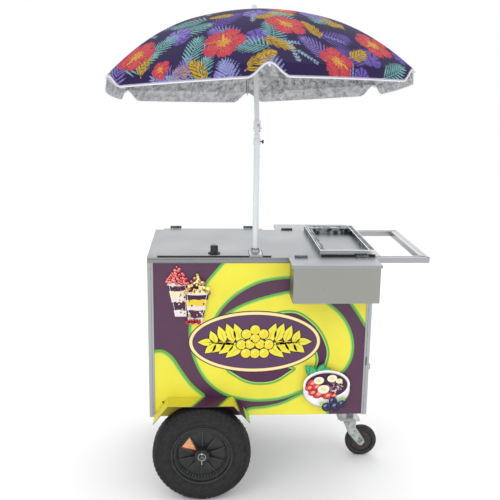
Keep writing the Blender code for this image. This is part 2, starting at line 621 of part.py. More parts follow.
def umbrella_pole():
    """Socket in the body, and the lower pole that stands in it."""
    boss_half, boss_top = 0.0225, DECK_TOP + GAP + 0.0068
    socket_floor = DECK_TOP - SOCKET_DEPTH
    socket = rod("umbrella_socket", (POLE_X, POLE_Y, socket_floor - 0.004), (POLE_X, POLE_Y, boss_top - 0.001), 0.0148,
                 STEEL, sides=24)
    boss = block("socket_boss", (POLE_X - boss_half, LID_FRONT + 0.002, DECK_TOP + GAP),
                 (POLE_X + boss_half, POLE_Y + 0.0205, boss_top))
    collar = rod("socket_collar", (POLE_X, POLE_Y, boss_top - 0.001), (POLE_X, POLE_Y, boss_top + 0.010), 0.0165,
                 sides=24, end_radius=0.0140)
    bore = rod("socket_bore", (POLE_X, POLE_Y, socket_floor), (POLE_X, POLE_Y, boss_top + 0.05),
               LOWER_POLE_RADIUS + 0.0006, sides=24)
    weld(socket, boss, collar)
    cut(socket, bore)

    shoulder = KNUCKLE_HEIGHT - 0.020
    pole = rod("lower_pole", (POLE_X, POLE_Y, socket_floor + GAP), (POLE_X, POLE_Y, shoulder), LOWER_POLE_RADIUS,
               WHITE_PAINT, sides=20)
    turn = knuckle_turn()
    tongue = block("knuckle_tongue", (-0.0040, -0.0095, -0.026), (0.0040, 0.0095, 0.004))
    tongue_end = rod("tongue_end", (-0.0040, 0, 0.002), (0.0040, 0, 0.002), 0.0095, sides=20)
    pin_hole = rod("knuckle_hole", (-0.02, 0, 0), (0.02, 0, 0), 0.0034, sides=16)
    for piece in (tongue, tongue_end, pin_hole):
        piece.matrix_local = turn
    weld(pole, tongue, tongue_end)
    cut(pole, pin_hole)


def knuckle_turn():
    """The knuckle's own frame: its X lies along the hinge pin, and its Z is upright."""
    return Matrix.Translation((POLE_X, POLE_Y, KNUCKLE_HEIGHT)) @ Matrix.Rotation(TILT_HEADING, 4, "Z")


def canopy_frame():
    """An empty on the knuckle's pivot, leaning as the canopy does. Its Z runs along the upper pole."""
    empty = bpy.data.objects.new("canopy_tilt", None)
    PARTS.objects.link(empty)
    empty.parent = ORIGIN
    heading = Matrix.Rotation(TILT_HEADING, 4, "Z")
    empty.matrix_local = (knuckle_turn() @ Matrix.Rotation(-CANOPY_TILT, 4, "X") @ heading.inverted())
    return empty


def dome(radius):
    """Height of the cloth's outer face above the knuckle along a rib."""
    share = radius / CANOPY_RADIUS
    return RIB_TIP_LEVEL + CANOPY_RISE * (1.0 - share ** CANOPY_POWER)


HINGE_LEVEL = RIB_TIP_LEVEL + CANOPY_RISE - 0.0075
RUNNER_LEVEL = HINGE_LEVEL - RUNNER_PIVOT_DROP


def upper_pole(tilt):
    crown = RIB_TIP_LEVEL + CANOPY_RISE
    pole = rod("upper_pole", (0, 0, 0.018), (0, 0, crown - 0.020), UPPER_POLE_RADIUS, WHITE_PAINT, tilt, sides=20)
    yoke = rod("knuckle_yoke", (0, 0, -0.014), (0, 0, 0.026), 0.0125, parent=tilt, sides=20)
    slot = block("knuckle_slot", (-0.0045, -0.03, -0.03), (0.0045, 0.03, 0.0135), parent=tilt)
    pin = rod("knuckle_pin", (-0.0135, 0, 0), (0.0160, 0, 0), 0.0030, parent=tilt, sides=12)
    heading = Matrix.Rotation(TILT_HEADING, 4, "Z")
    for piece in (yoke, slot, pin):
        piece.matrix_local = heading
    weld(pole, yoke)
    cut(pole, slot)
    weld(pole, pin)

    cap_profile = [(0.0, 0.030), (0.0060, 0.0290), (0.0085, 0.0245), (0.0085, 0.0080), (0.0240, 0.0035),
                   (0.0240, 0.0010), (0.0105, 0.0010), (0.0105, -0.0195), (0.0, -0.0195)]
    turned("crown_cap", cap_profile, Matrix.Translation((0, 0, crown)), WHITE_PAINT, tilt, steps=24, closed=False)

    runner_profile = [
        (UPPER_POLE_RADIUS + 0.0006, 0.004), (RUNNER_RADIUS, 0.004), (RUNNER_RADIUS, -0.004), (0.0145, -0.006),
        (0.0145, -0.022), (UPPER_POLE_RADIUS + 0.0006, -0.022),
    ]
    turned("runner", runner_profile, Matrix.Translation((0, 0, RUNNER_LEVEL)), WHITE_PAINT, tilt, steps=24)


def rib_frame(index, tilt):
    """An empty on a rib's hinge. Its -Y points outwards along the rib."""
    empty = bpy.data.objects.new(f"rib_hinge_{index + 1}", None)
    PARTS.objects.link(empty)
    empty.parent = tilt
    turn = Matrix.Rotation(math.tau * index / RIBS, 4, "Z")
    empty.matrix_local = turn @ Matrix.Translation((0, -RIB_HINGE_RADIUS, HINGE_LEVEL))
    return empty


def row_radius(share):
    """Radius of the cloth along a rib, where share is 0 at the crown and 1 at the rib's tip."""
    return CLOTH_INNER + (CANOPY_RADIUS - CLOTH_INNER) * share


def rib_line():
    """Points of a rib's centre line, from its hinge to its tip, in the rib hinge's frame."""
    points = [(0.0, 0.0, 0.0)]
    for share in CLOTH_ROWS[1:-1]:
        radius = row_radius(share)
        points.append((0.0, RIB_HINGE_RADIUS - radius, dome(radius) - RIB_DROP - HINGE_LEVEL))
    return points


def cloth_point(along, across):
    """A point of one rib's share of the cloth. along is 0 at the crown, 1 at the rib's tip and 2 at
    the hem, and across is -1 to 1 from one panel's middle to the next."""
    half = math.pi / RIBS
    angle = across * half
    chord = math.cos(half) / math.cos(half - abs(angle))
    share = min(along, 1.0)
    radius = row_radius(share)
    flatness = 0.75 * share
    reach = radius * (1.0 - flatness * (1.0 - chord))
    height = dome(radius)
    if along > 1.0:
        hang = min(abs(angle) * CANOPY_RADIUS / 0.060, 1.0)
        depth = VALANCE * hang * hang * (3 - 2 * hang) * (along - 1.0) + 0.0005
        reach += 0.20 * depth
        height -= depth
    gap = 0.0006 / reach
    angle = across * (half - gap)
    return Vector((math.sin(angle) * reach, -math.cos(angle) * reach, height))


def canopy(tilt):
    columns = [-1.0, -0.7, -0.4, -0.15, 0.0, 0.15, 0.4, 0.7, 1.0]
    for index in range(RIBS):
        frame = rib_frame(index, tilt)
        back = Matrix.Translation((0, RIB_HINGE_RADIUS, -HINGE_LEVEL))

        def build(shape):
            grid = [[shape.verts.new(back @ cloth_point(v, u)) for u in columns] for v in CLOTH_ROWS]
            for upper, lower in zip(grid, grid[1:]):
                for column in range(len(columns) - 1):
                    shape.faces.new((upper[column], lower[column], lower[column + 1], upper[column + 1]))

        petal = add(f"canopy_panel_{index + 1}", mesh_from(build, "cloth"), CLOTH_PRINT, frame)
        thick = petal.modifiers.new("cloth", "SOLIDIFY")
        thick.thickness = CLOTH
        thick.offset = -1.0

        tube_along(f"rib_{index + 1}", rib_line(), RIB_RADIUS, ZINC, frame, sides=8)
        stretcher(index, frame)


def stretcher(index, rib):
    """A strut hinged under a rib. It ends at the runner, where the folding loop is left open."""
    under = RIB_DROP + RIB_RADIUS + STRETCHER_RADIUS + 0.0005
    hinge = Vector((0.0, RIB_HINGE_RADIUS - STRETCHER_REACH, dome(STRETCHER_REACH) - under - HINGE_LEVEL))
    empty = bpy.data.objects.new(f"stretcher_hinge_{index + 1}", None)
    PARTS.objects.link(empty)
    empty.parent = rib
    empty.location = hinge
    runner_pivot = Vector((0.0, RIB_HINGE_RADIUS - RUNNER_PIVOT_RADIUS, RUNNER_LEVEL - HINGE_LEVEL))
    rod(f"stretcher_{index + 1}", (0, 0, 0), runner_pivot - hinge, STRETCHER_RADIUS, ZINC, empty, sides=8)


# ---------------------------------------------------------------- assembly


def centre_on_footprint():
    """Moves the whole model so that the middle of its footprint is the origin."""
    bpy.context.view_layer.update()
    graph = bpy.context.evaluated_depsgraph_get()
    spots = []
    for part in PARTS.objects:
        if part.type == "MESH":
            seen = part.evaluated_get(graph)
            spots += [seen.matrix_world @ vertex.co for vertex in seen.data.vertices]
    middle_x = (min(p.x for p in spots) + max(p.x for p in spots)) / 2
    middle_y = (min(p.y for p in spots) + max(p.y for p in spots)) / 2
    ORIGIN.location = (-middle_x, -middle_y, 0.0)


body_shell()
chassis()
tank()
main_lid()
for place in ("front", "rear"):
    side_box(place)
    wheel_hood(place)
    wheel(place)
tray_frame()
handle()
service_door()
axle_and_cradle()
caster()
umbrella_pole()
leaning = canopy_frame()
upper_pole(leaning)
canopy(leaning)
centre_on_footprint()
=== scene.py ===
"""Looks for a push vending cart with an umbrella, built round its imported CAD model.

Metres, +Z up, in the CAD model's own frame. The cart's printed front faces -Y.
"""

import itertools
import json
import math
import random

import bmesh
import bpy
import numpy as np
from mathutils import Matrix, Vector
from mathutils.geometry import tessellate_polygon


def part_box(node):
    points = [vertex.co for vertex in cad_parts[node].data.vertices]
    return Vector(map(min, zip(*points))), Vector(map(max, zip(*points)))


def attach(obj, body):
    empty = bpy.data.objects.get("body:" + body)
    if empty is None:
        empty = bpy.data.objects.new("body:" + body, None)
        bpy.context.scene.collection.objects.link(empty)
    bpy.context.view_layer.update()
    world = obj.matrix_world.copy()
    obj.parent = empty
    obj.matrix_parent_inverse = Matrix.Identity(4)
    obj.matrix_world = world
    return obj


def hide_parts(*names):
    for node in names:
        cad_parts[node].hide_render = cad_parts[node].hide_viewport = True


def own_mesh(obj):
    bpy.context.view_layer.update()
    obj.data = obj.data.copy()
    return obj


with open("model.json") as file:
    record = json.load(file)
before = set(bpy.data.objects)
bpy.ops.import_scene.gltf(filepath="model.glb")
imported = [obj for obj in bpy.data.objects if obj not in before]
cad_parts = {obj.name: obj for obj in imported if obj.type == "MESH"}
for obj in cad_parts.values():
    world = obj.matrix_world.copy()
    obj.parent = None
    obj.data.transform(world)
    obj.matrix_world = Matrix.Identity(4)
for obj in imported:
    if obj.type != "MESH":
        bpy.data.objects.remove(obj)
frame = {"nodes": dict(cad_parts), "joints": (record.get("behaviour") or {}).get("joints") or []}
NODES = frame["nodes"]
JOINTS = {joint["name"]: joint for joint in frame["joints"]}
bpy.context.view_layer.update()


def low(node):
    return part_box(node)[0]


def high(node):
    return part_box(node)[1]


def middle(node):
    return (low(node) + high(node)) / 2


HINGE_LEAF_RISE = 0.003                         # the lid's fixed hinge leaves stand this far over the deck
BODY_LEFT, BODY_FRONT = low("deck").x, low("deck").y
BODY_RIGHT, BODY_REAR = high("right_end_panel").x, high("right_end_panel").y
DECK_TOP = high("deck").z - HINGE_LEAF_RISE
OUTWARD = {"front": -1, "rear": 1}              # the way along Y in which each side faces

# ---------------------------------------------------------------- materials


def shade(value):
    """A colour given as #rrggbb, as linear numbers with an alpha of 1."""
    parts = [int(value[place:place + 2], 16) / 255 for place in (1, 3, 5)]
    return tuple(p / 12.92 if p <= 0.04045 else ((p + 0.055) / 1.055) ** 2.4 for p in parts) + (1.0,)


class Look:
    """A node material in the making, round one Principled shader."""

    def __init__(self, name, colour, roughness, metallic=0.0, **sockets):
        self.material = bpy.data.materials.new(name)
        self.material.use_nodes = True
        self.tree = self.material.node_tree
        self.shader = self.tree.nodes["Principled BSDF"]
        self.shader.inputs["Base Color"].default_value = shade(colour)
        self.shader.inputs["Roughness"].default_value = roughness
        self.shader.inputs["Metallic"].default_value = metallic
        for socket, value in sockets.items():
            self.shader.inputs[socket.replace("_", " ")].default_value = value
        self.bumped = None

    def node(self, kind, links=(), **values):
        made = self.tree.nodes.new("ShaderNode" + kind)
        for key, value in values.items():
            if key in made.inputs:
                made.inputs[key].default_value = value
            else:
                setattr(made, key, value)
        for socket, source in links:
            self.tree.links.new(source, made.inputs[socket])
        return made

    def place(self, scale=(1, 1, 1), turn=(0, 0, 0), source="Object"):
        """Coordinates in metres on the object, stretched by scale."""
        coordinates = self.node("TexCoord").outputs[source]
        mapping = self.node("Mapping", [("Vector", coordinates)])
        mapping.inputs["Scale"].default_value = scale
        mapping.inputs["Rotation"].default_value = turn
        return mapping.outputs["Vector"]

    def noise(self, scale, detail=3.0, stretch=(1, 1, 1), source="Object"):
        place = self.place(stretch, source=source)
        return self.node("TexNoise", [("Vector", place)], Scale=scale, Detail=detail).outputs["Fac"]

    def cells(self, scale, feature="F1", turn=(0, 0, 0)):
        place = self.place(turn=turn)
        made = self.node("TexVoronoi", [("Vector", place)], Scale=scale, feature=feature)
        return made.outputs["Distance"]

    def spread(self, source, low_value, high_value, start=0.3, end=0.7):
        """Maps the part of a signal from start to end to a range of values."""
        mapped = self.node("MapRange", [("Value", source)])
        wanted = {"From Min": start, "From Max": end, "To Min": low_value, "To Max": high_value}
        for socket, value in wanted.items():
            mapped.inputs[socket].default_value = value
        return mapped.outputs["Result"]

    def set(self, socket, source):
        self.tree.links.new(source, self.shader.inputs[socket])
        return self

    def cloud_roughness(self, low_value, high_value, scale, detail=3.0, start=0.3, end=0.7):
        """Varies the roughness with soft noise."""
        cloud = self.noise(scale, detail)
        return self.set("Roughness", self.spread(cloud, low_value, high_value, start, end))

    def tint(self, source, one, two, start=0.3, end=0.7):
        """Blends two colours by a signal and paints the shader with the result."""
        ramp = self.node("ValToRGB", [("Fac", source)])
        ramp.color_ramp.elements[0].position = start
        ramp.color_ramp.elements[1].position = end
        ramp.color_ramp.elements[0].color = shade(one)
        ramp.color_ramp.elements[1].color = shade(two)
        return self.set("Base Color", ramp.outputs["Color"])

    def bump(self, source, height, strength=1.0):
        made = self.node("Bump", [("Height", source)], Strength=strength, Distance=height)
        if self.bumped:
            self.tree.links.new(self.bumped, made.inputs["Normal"])
        self.bumped = made.outputs["Normal"]
        return self.set("Normal", self.bumped)

    def printed(self, mottle):
        """Paints the shader with the mesh's own print colours, times a mottled signal."""
        print_colour = self.node("VertexColor", layer_name="print").outputs["Color"]
        tone = self.node("Mix", data_type="RGBA", blend_type="MULTIPLY")
        tone.inputs["Factor"].default_value = 1.0
        self.tree.links.new(print_colour, tone.inputs["A"])
        self.tree.links.new(mottle, tone.inputs["B"])
        return self.set("Base Color", tone.outputs["Result"])


GRAIN_ACROSS, GRAIN_ALONG, GRAIN_DEPTH = 1400.0, 12.0, 0.00001
THREAD_SCALE = 45.453                           # the wave texture's scale for threads 7 mm apart


def brushed(name, along, dark="#a3a5a8", light="#b2b4b7", roughness=0.36):
    """Stainless sheet with its grain along one axis, 0 for X, 1 for Y, 2 for Z."""
    look = Look(name, light, roughness, 1.0)
    stretch = [GRAIN_ALONG if axis == along else GRAIN_ACROSS for axis in range(3)]
    grain = look.noise(1.0, 4.0, stretch)
    cloud = look.noise(3.2)
    look.tint(grain, dark, light, 0.1, 0.9)
    mixed = look.node("Math", [(0, grain), (1, cloud)], operation="ADD").outputs[0]
    look.set("Roughness", look.spread(mixed, roughness - 0.08, roughness + 0.12, 0.7, 1.4))
    look.bump(grain, GRAIN_DEPTH, 0.6)
    return look.material


def polished():
    """Folded sheet that mirrors its surroundings, with streaks of painted reflection tinted into its colour
    along each rail.
    """
    look = Look("polished_sheet", "#c9ccd1", 0.12, 1.0, Specular_Tint=(0.50, 0.51, 0.54, 1.0))
    # painted reflection: dark and light streaks stretched along the rails, tinted into the base colour
    look.tint(look.noise(1.0, 3.0, (75.0, 20.0, 60.0)), "#4e5258", "#c9cdd3", 0.42, 0.60)
    look.cloud_roughness(0.07, 0.22, 9.0, 5.0, 0.35, 0.75)
    look.bump(look.noise(14.0, 2.0), 0.00035, 0.5)
    return look.material


def zinc(name="zinc_plating", colour="#b4b8b3", dark="#8f938e", light="#cdd1cb"):
    look = Look(name, colour, 0.30, 1.0)
    look.tint(look.noise(46.0, 4.0), dark, light, 0.3, 0.75)
    look.cloud_roughness(0.22, 0.48, 80.0)
    look.bump(look.noise(420.0, 2.0), 0.00008, 0.5)
    return look.material


def painted(name, colour, roughness, ripple=0.00006, coat=0.0):
    look = Look(name, colour, roughness, Coat_Weight=coat, Coat_Roughness=0.08)
    look.cloud_roughness(roughness * 0.8, roughness * 1.3, 30.0, 4.0)
    look.bump(look.noise(260.0, 2.0), ripple, 0.5)
    return look.material


def moulded(name, dark, light, roughness, grain=0.00012, size=900.0):
    look = Look(name, dark, roughness)
    look.tint(look.noise(60.0, 5.0), dark, light, 0.3, 0.8)
    look.cloud_roughness(roughness - 0.08, roughness + 0.14, 40.0, 4.0)
    look.bump(look.noise(size, 2.0), grain, 0.6)
    return look.material


def rubber():
    """Tyre rubber, matt in some places and a little glossier in others."""
    look = Look("tyre_rubber", "#2c2c2d", 0.72)
    look.tint(look.noise(90.0, 6.0), "#161617", "#222223", 0.3, 0.8)
    look.cloud_roughness(0.62, 0.88, 70.0, 4.0)
    look.bump(look.noise(700.0, 3.0), 0.00025, 0.7)
    return look.material


def foam():
    look = Look("rigid_foam", "#d8c489", 0.92)
    cells = look.cells(500.0)
    look.tint(cells, "#e3d29a", "#b9a26a", 0.1, 0.9)
    look.bump(cells, 0.0006)
    return look.material


def weave(look):
    """Plain weave as two crossed sets of waves."""
    threads = []
    for turn in (0.0, math.pi / 2):
        place = look.place(turn=(0, 0, turn), source="UV")
        wave = look.node("TexWave", [("Vector", place)], Scale=THREAD_SCALE, Distortion=0.25, Detail=1.0)
        threads.append(wave.outputs["Fac"])
    return look.node("Math", [(0, threads[0]), (1, threads[1])], operation="MAXIMUM").outputs[0]


def painted_cloth():
    """Canopy cloth outside: the print is in the mesh's colours, over a fine weave."""
    look = Look("canopy_print", "#382e55", 0.70, Sheen_Weight=0.04, Sheen_Roughness=0.5,
                Specular_IOR_Level=0.16)
    look.printed(look.spread(look.noise(55.0, 4.0, source="UV"), 0.50, 0.68))
    look.bump(weave(look), 0.00012, 0.35)
    return look.material


def silver_cloth():
    """Aluminised coating inside the canopy, finely crinkled."""
    look = Look("canopy_silver", "#b4b6b9", 0.34, 0.85)
    crease = look.cells(26.0, "DISTANCE_TO_EDGE", (0, 0, 0.4))
    soft = look.noise(46.0, 6.0)
    look.tint(soft, "#96989c", "#d6d7d9", 0.32, 0.68)
    look.set("Roughness", look.spread(soft, 0.20, 0.46))
    look.bump(soft, 0.010, 0.8)
    look.bump(look.spread(crease, 0.0, 1.0, 0.0, 0.12), 0.0012, 0.4)
    look.bump(weave(look), 0.00008, 0.3)
    return look.material


def vinyl():
    """Printed vinyl: the artwork is in the mesh's colours, under a glossy film."""
    look = Look("printed_vinyl", "#5d3e5a", 0.42, Coat_Weight=0.08, Coat_Roughness=0.15,
                Specular_IOR_Level=0.3)
    look.printed(look.spread(look.noise(7.0, 4.0), 0.94, 1.06))
    look.cloud_roughness(0.36, 0.50, 24.0, 4.0)
    look.bump(look.noise(18.0, 2.0), 0.0004, 0.25)
    return look.material


def reflector():
    """Tinted plastic over small prisms."""
    look = Look("reflector", "#e58a45", 0.18, Coat_Weight=0.8, Coat_Roughness=0.05)
    look.bump(look.cells(420.0), 0.0008)
    look.tint(look.noise(160.0, 2.0), "#d9702e", "#f3c08a")
    return look.material


PURPLE, YELLOW, GREEN, LIME = "#502748", "#ebe246", "#6cb047", "#a6d870"

BRUSHED_X = brushed("brushed_along_x", 0)
BRUSHED_Y = brushed("brushed_along_y", 1)
BRUSHED_Z = brushed("brushed_along_z", 2)
DARK_BRUSHED = brushed("box_sheet", 0, "#989994", "#a3a39f", 0.46)
POLISHED = polished()
ZINC = zinc()
BLACK_PAINT = painted("black_paint", "#1b1b1c", 0.45)
WHITE_PAINT = painted("white_enamel", "#dfe3e6", 0.26, coat=0.4)
PANEL_PAINT = painted("purple_film", PURPLE, 0.42, coat=0.12)
BLACK_PLASTIC = moulded("black_plastic", "#18191a", "#2a2b2c", 0.42)
RIM_PLASTIC = moulded("rim_plastic", "#1c1d1e", "#303132", 0.46, 0.0002, 600.0)
LINER_PLASTIC = moulded("liner_plastic", "#dcdcd6", "#ececE8", 0.40)
RUBBER = rubber()
SEAL = moulded("seal_rubber", "#161617", "#262627", 0.66)
FOAM = foam()
CLOTH_OUTSIDE = painted_cloth()
CLOTH_INSIDE = silver_cloth()
TIP_PLASTIC = moulded("tip_plastic", "#c4c5c8", "#dedfe2", 0.45)
HEM_TAPE = painted("hem_tape", "#e6e4ee", 0.75, 0.0003)
VINYL = vinyl()
REFLECTOR = reflector()
REFLECTOR_RED = painted("reflector_red", "#8a2a18", 0.30)
DARK_ZINC = zinc("dark_zinc", "#6c6e6f", "#505254", "#8e9093")
CASTER_GREY = moulded("caster_grey", "#3d3b3c", "#555253", 0.55)
CASTER_DISC = moulded("caster_disc", "#322b2c", "#433a3b", 0.50)
# painted shade for holes that are not cut
HOLE_SHADE = moulded("painted_hole_shade", "#0c0c0d", "#151516", 0.60)
# painted shade and dark reflection, for the dark strips on the tray's rails
TRAY_DARK = painted("tray_shadow", "#43474f", 0.42)
# painted highlight: light strips along the edges of the tray's rails
TRAY_HIGHLIGHT = brushed("tray_highlight_sheet", 0, "#c4c7cb", "#dcdfe2", 0.20)
BOX_LID_SHEET = brushed("box_lid_sheet", 0, "#9a9b9e", "#a6a7aa", 0.42)
# painted highlight for the crests of the rim's spokes and teeth
RIM_HIGHLIGHT = moulded("painted_rim_highlight", "#5c5d5e", "#87888a", 0.50)
# a lighter grey rubber for the ribbed arc on the tyres' sidewalls
RIBBING_RUBBER = moulded("lighter_ribbing_rubber", "#2e2e2f", "#474748", 0.70)
RUST = zinc("rusty_screw", "#6e5238", "#4a3524", "#8a6a48")
LID_SHEET = brushed("lid_sheet", 0, "#8b8d90", "#97999c", 0.40)

RIBS = 6
CAD_LOOKS = {
    BRUSHED_X: ["floor_plate", "handle_frame"],
    LID_SHEET: ["deck", "lid_skin"],
    BRUSHED_Y: ["tank_liner", "service_door"],
    BRUSHED_Z: ["left_end_panel", "right_end_panel", "caster_bracket", "umbrella_socket"],
    DARK_BRUSHED: ["box_front", "box_rear"],
    BOX_LID_SHEET: ["box_lid_front", "box_lid_rear"],
    POLISHED: ["tray_frame"],
    DARK_ZINC: ["axle"],
    ZINC: ["caster_bolt", "caster_fork", "caster_plate", "door_pull", "linch_pin_front", "linch_pin_rear"]
          + [f"{part}_{k + 1}" for part in ("rib", "stretcher") for k in range(RIBS)],
    BLACK_PAINT: ["axle_cradle", "chassis_frame"],
    WHITE_PAINT: ["lower_pole", "upper_pole", "crown_cap", "runner"],
    PANEL_PAINT: ["front_panel", "rear_panel", "hood_front", "hood_rear"],
    BLACK_PLASTIC: ["lid_knob"],
    RIM_PLASTIC: ["rim_front", "rim_rear"],
    LINER_PLASTIC: ["lid_liner"],
    RUBBER: ["tyre_front", "tyre_rear"],
    SEAL: ["lid_gasket", "caster_wheel"],
    FOAM: ["tank_insulation"],
    CLOTH_INSIDE: [f"canopy_panel_{k + 1}" for k in range(RIBS)],
}
for finish, names in CAD_LOOKS.items():
    for name in names:
        NODES[name].data.materials.clear()
        NODES[name].data.materials.append(finish)

# ---------------------------------------------------------------- mesh helpers


def piece(name, mesh, finish, body):
    """A finished mesh as an object that rides on a CAD body."""
    made = bpy.data.objects.new(name, mesh)
    bpy.context.scene.collection.objects.link(made)
    if finish:
        made.data.materials.append(finish)
    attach(made, body)
    return made


def to_mesh(shape, name):
    bmesh.ops.recalc_face_normals(shape, faces=shape.faces)
    mesh = bpy.data.meshes.new(name)
    shape.to_mesh(mesh)
    shape.free()
    return mesh


def smooth(mesh, angle):
    mesh.polygons.foreach_set("use_smooth", [True] * len(mesh.polygons))
    mesh.set_sharp_from_angle(angle=math.radians(angle))
    return mesh


def finished(name, shape, finish, body, angle=35.0):
    """A bmesh as a smoothly shaded piece."""
    return piece(name, smooth(to_mesh(shape, name), angle), finish, body)


def between(p, t):
    """A place on a smooth curve through four points, from the second (t = 0) to the third (t = 1)."""
    return 0.5 * (2 * p[1] + (p[2] - p[0]) * t + (2 * p[0] - 5 * p[1] + 4 * p[2] - p[3]) * t ** 2
                  + (3 * p[1] - p[0] - 3 * p[2] + p[3]) * t ** 3)


def catmull(points, steps, closed):
    """A smooth curve through a few points."""
    points = [np.array(p, float) for p in points]
    count = len(points)
    line = []
    for i in range(count if closed else count - 1):
        near = [(i + k) % count if closed else min(max(i + k, 0), count - 1) for k in (-1, 0, 1, 2)]
        line += [between([points[k] for k in near], step / steps) for step in range(steps)]
    return line if closed else line + [points[-1]]


def upright(axis):
    """A rotation that takes +Z to axis."""
    return Vector((0, 0, 1)).rotation_difference(Vector(axis)).to_matrix().to_4x4()


def bridge(shape, one, two):
    """Joins two rings of vertices with quads."""
    for k in range(len(one)):
        n = (k + 1) % len(one)
        shape.faces.new((one[k], one[n], two[n], two[k]))


def lathe(shape, profile, centre, axis, steps):
    """Adds a turned solid to a bmesh. profile is (radius, height along axis), closed on the axis
    where its radius is 0."""
    place = Matrix.Translation(centre) @ upright(axis)
    rings = []
    for radius, height in profile:
        turns = [math.tau * k / steps for k in range(steps if radius else 1)]
        ring = [Vector((radius * math.cos(a), radius * math.sin(a), height)) for a in turns]
        rings.append([shape.verts.new(place @ spot) for spot in ring])
    for one, two in zip(rings, rings[1:]):
        if len(one) == len(two):
            bridge(shape, one, two)
            continue
        for k in range(steps):
            n = (k + 1) % steps
            if len(one) == 1:
                shape.faces.new((one[0], two[k], two[n]))
            else:
                shape.faces.new((one[k], one[n], two[0]))


def bar(shape, points, radius, sides):
    """Adds a round bar along points to a bmesh."""
    points = [Vector(p) for p in points]
    rings = []
    lead = None
    for i, p in enumerate(points):
        tangent = (points[min(i + 1, len(points) - 1)] - points[max(i - 1, 0)]).normalized()
        if lead is None:
            lead = tangent.orthogonal().normalized()
        lead = (lead - tangent * lead.dot(tangent)).normalized()
        side = tangent.cross(lead)
        turns = [math.tau * k / sides for k in range(sides)]
        rings.append([shape.verts.new(p + radius * (math.cos(a) * lead + math.sin(a) * side)) for a in turns])
    for one, two in zip(rings, rings[1:]):
        bridge(shape, one, two)
    shape.faces.new(list(reversed(rings[0])))
    shape.faces.new(rings[-1])


def slab(shape, corner, opposite, bevel):
    """Adds a box to a bmesh, with its edges rounded by bevel."""
    made = bmesh.ops.create_cube(shape, size=1.0)["verts"]
    a, b = Vector(corner), Vector(opposite)
    for v in made:
        v.co = Vector((a[i] + (b[i] - a[i]) * (v.co[i] + 0.5) for i in range(3)))
    edges = list({e for v in made for e in v.link_edges})
    bmesh.ops.bevel(shape, geom=edges, offset=bevel, segments=2, affect="EDGES", profile=0.5)


def add_print(mesh, colours):
    """Gives each vertex of a mesh its print colour."""
    layer = mesh.color_attributes.new("print", "FLOAT_COLOR", "POINT")
    layer.data.foreach_set("color", np.asarray(colours, np.float32).ravel())


# ---------------------------------------------------------------- canopy cloth

SIDEWAYS = Vector(JOINTS["canopy_fold"]["axis"]).normalized()
UPWARDS = -Vector(JOINTS["runner_slide"]["axis"]).normalized()
BACKWARDS = UPWARDS.cross(SIDEWAYS)
KNUCKLE = Vector(JOINTS["canopy_tilt"]["pos_m"])
LEAN = Matrix.Translation(KNUCKLE) @ Matrix((SIDEWAYS, BACKWARDS, UPWARDS)).transposed().to_4x4()

CANOPY_RADIUS, CANOPY_RISE, CANOPY_POWER = 0.542, 0.2215, 2.35
RIB_TIP_LEVEL = 0.160                           # above the knuckle, along the pole
VALANCE, HEM_ROUNDING = 0.038, 0.060
CLOTH, CLOTH_INNER = 0.0010, 0.0242             # thickness, and the hole at the crown
HALF_SECTOR = math.pi / RIBS
SLOPE_ROWS, VALANCE_ROWS, SECTOR_COLUMNS = 40, 4, 32
FINE = 6                                        # the finished net is this many times finer
SIM_FRAMES, LARGEST_SAG = 18, 0.010


def dome_level(radius):
    """How high the ribs' curve stands above the knuckle at a radius."""
    return RIB_TIP_LEVEL + CANOPY_RISE * (1.0 - (radius / CANOPY_RADIUS) ** CANOPY_POWER)


def cloth_rest(along, angle):
    """Height and reach of the stretched cloth, for arrays. along is 0 at the crown, 1 at the rib's
    tip and 2 at the hem, and angle is from -HALF_SECTOR to HALF_SECTOR about a rib."""
    chord = math.cos(HALF_SECTOR) / np.cos(HALF_SECTOR - np.abs(angle))
    share = np.minimum(along, 1.0)
    radius = CLOTH_INNER + (CANOPY_RADIUS - CLOTH_INNER) * share
    reach = radius * (1.0 - 0.75 * share * (1.0 - chord))
    hang = np.minimum(np.abs(angle) * CANOPY_RADIUS / HEM_ROUNDING, 1.0)
    depth = np.where(along > 1.0, VALANCE * hang * hang * (3 - 2 * hang) * (along - 1.0) + 0.0005, 0.0)
    return reach + 0.20 * depth, dome_level(radius) - depth


def polar_grid(rows, columns):
    """The cloth as a grid of points, rows of along against columns of angle right round."""
    across = np.arange(columns * RIBS) / columns
    angle = across * 2 * HALF_SECTOR
    about_rib = (across - np.round(across)) * 2 * HALF_SECTOR
    along = np.concatenate((np.linspace(0, 1, rows[0] + 1), 1 + np.linspace(0, 1, rows[1] + 1)[1:]))
    reach, height = cloth_rest(along[:, None], about_rib[None, :])
    height = np.broadcast_to(height, reach.shape)
    return np.stack((np.sin(angle) * reach, -np.cos(angle) * reach, height), axis=-1), angle


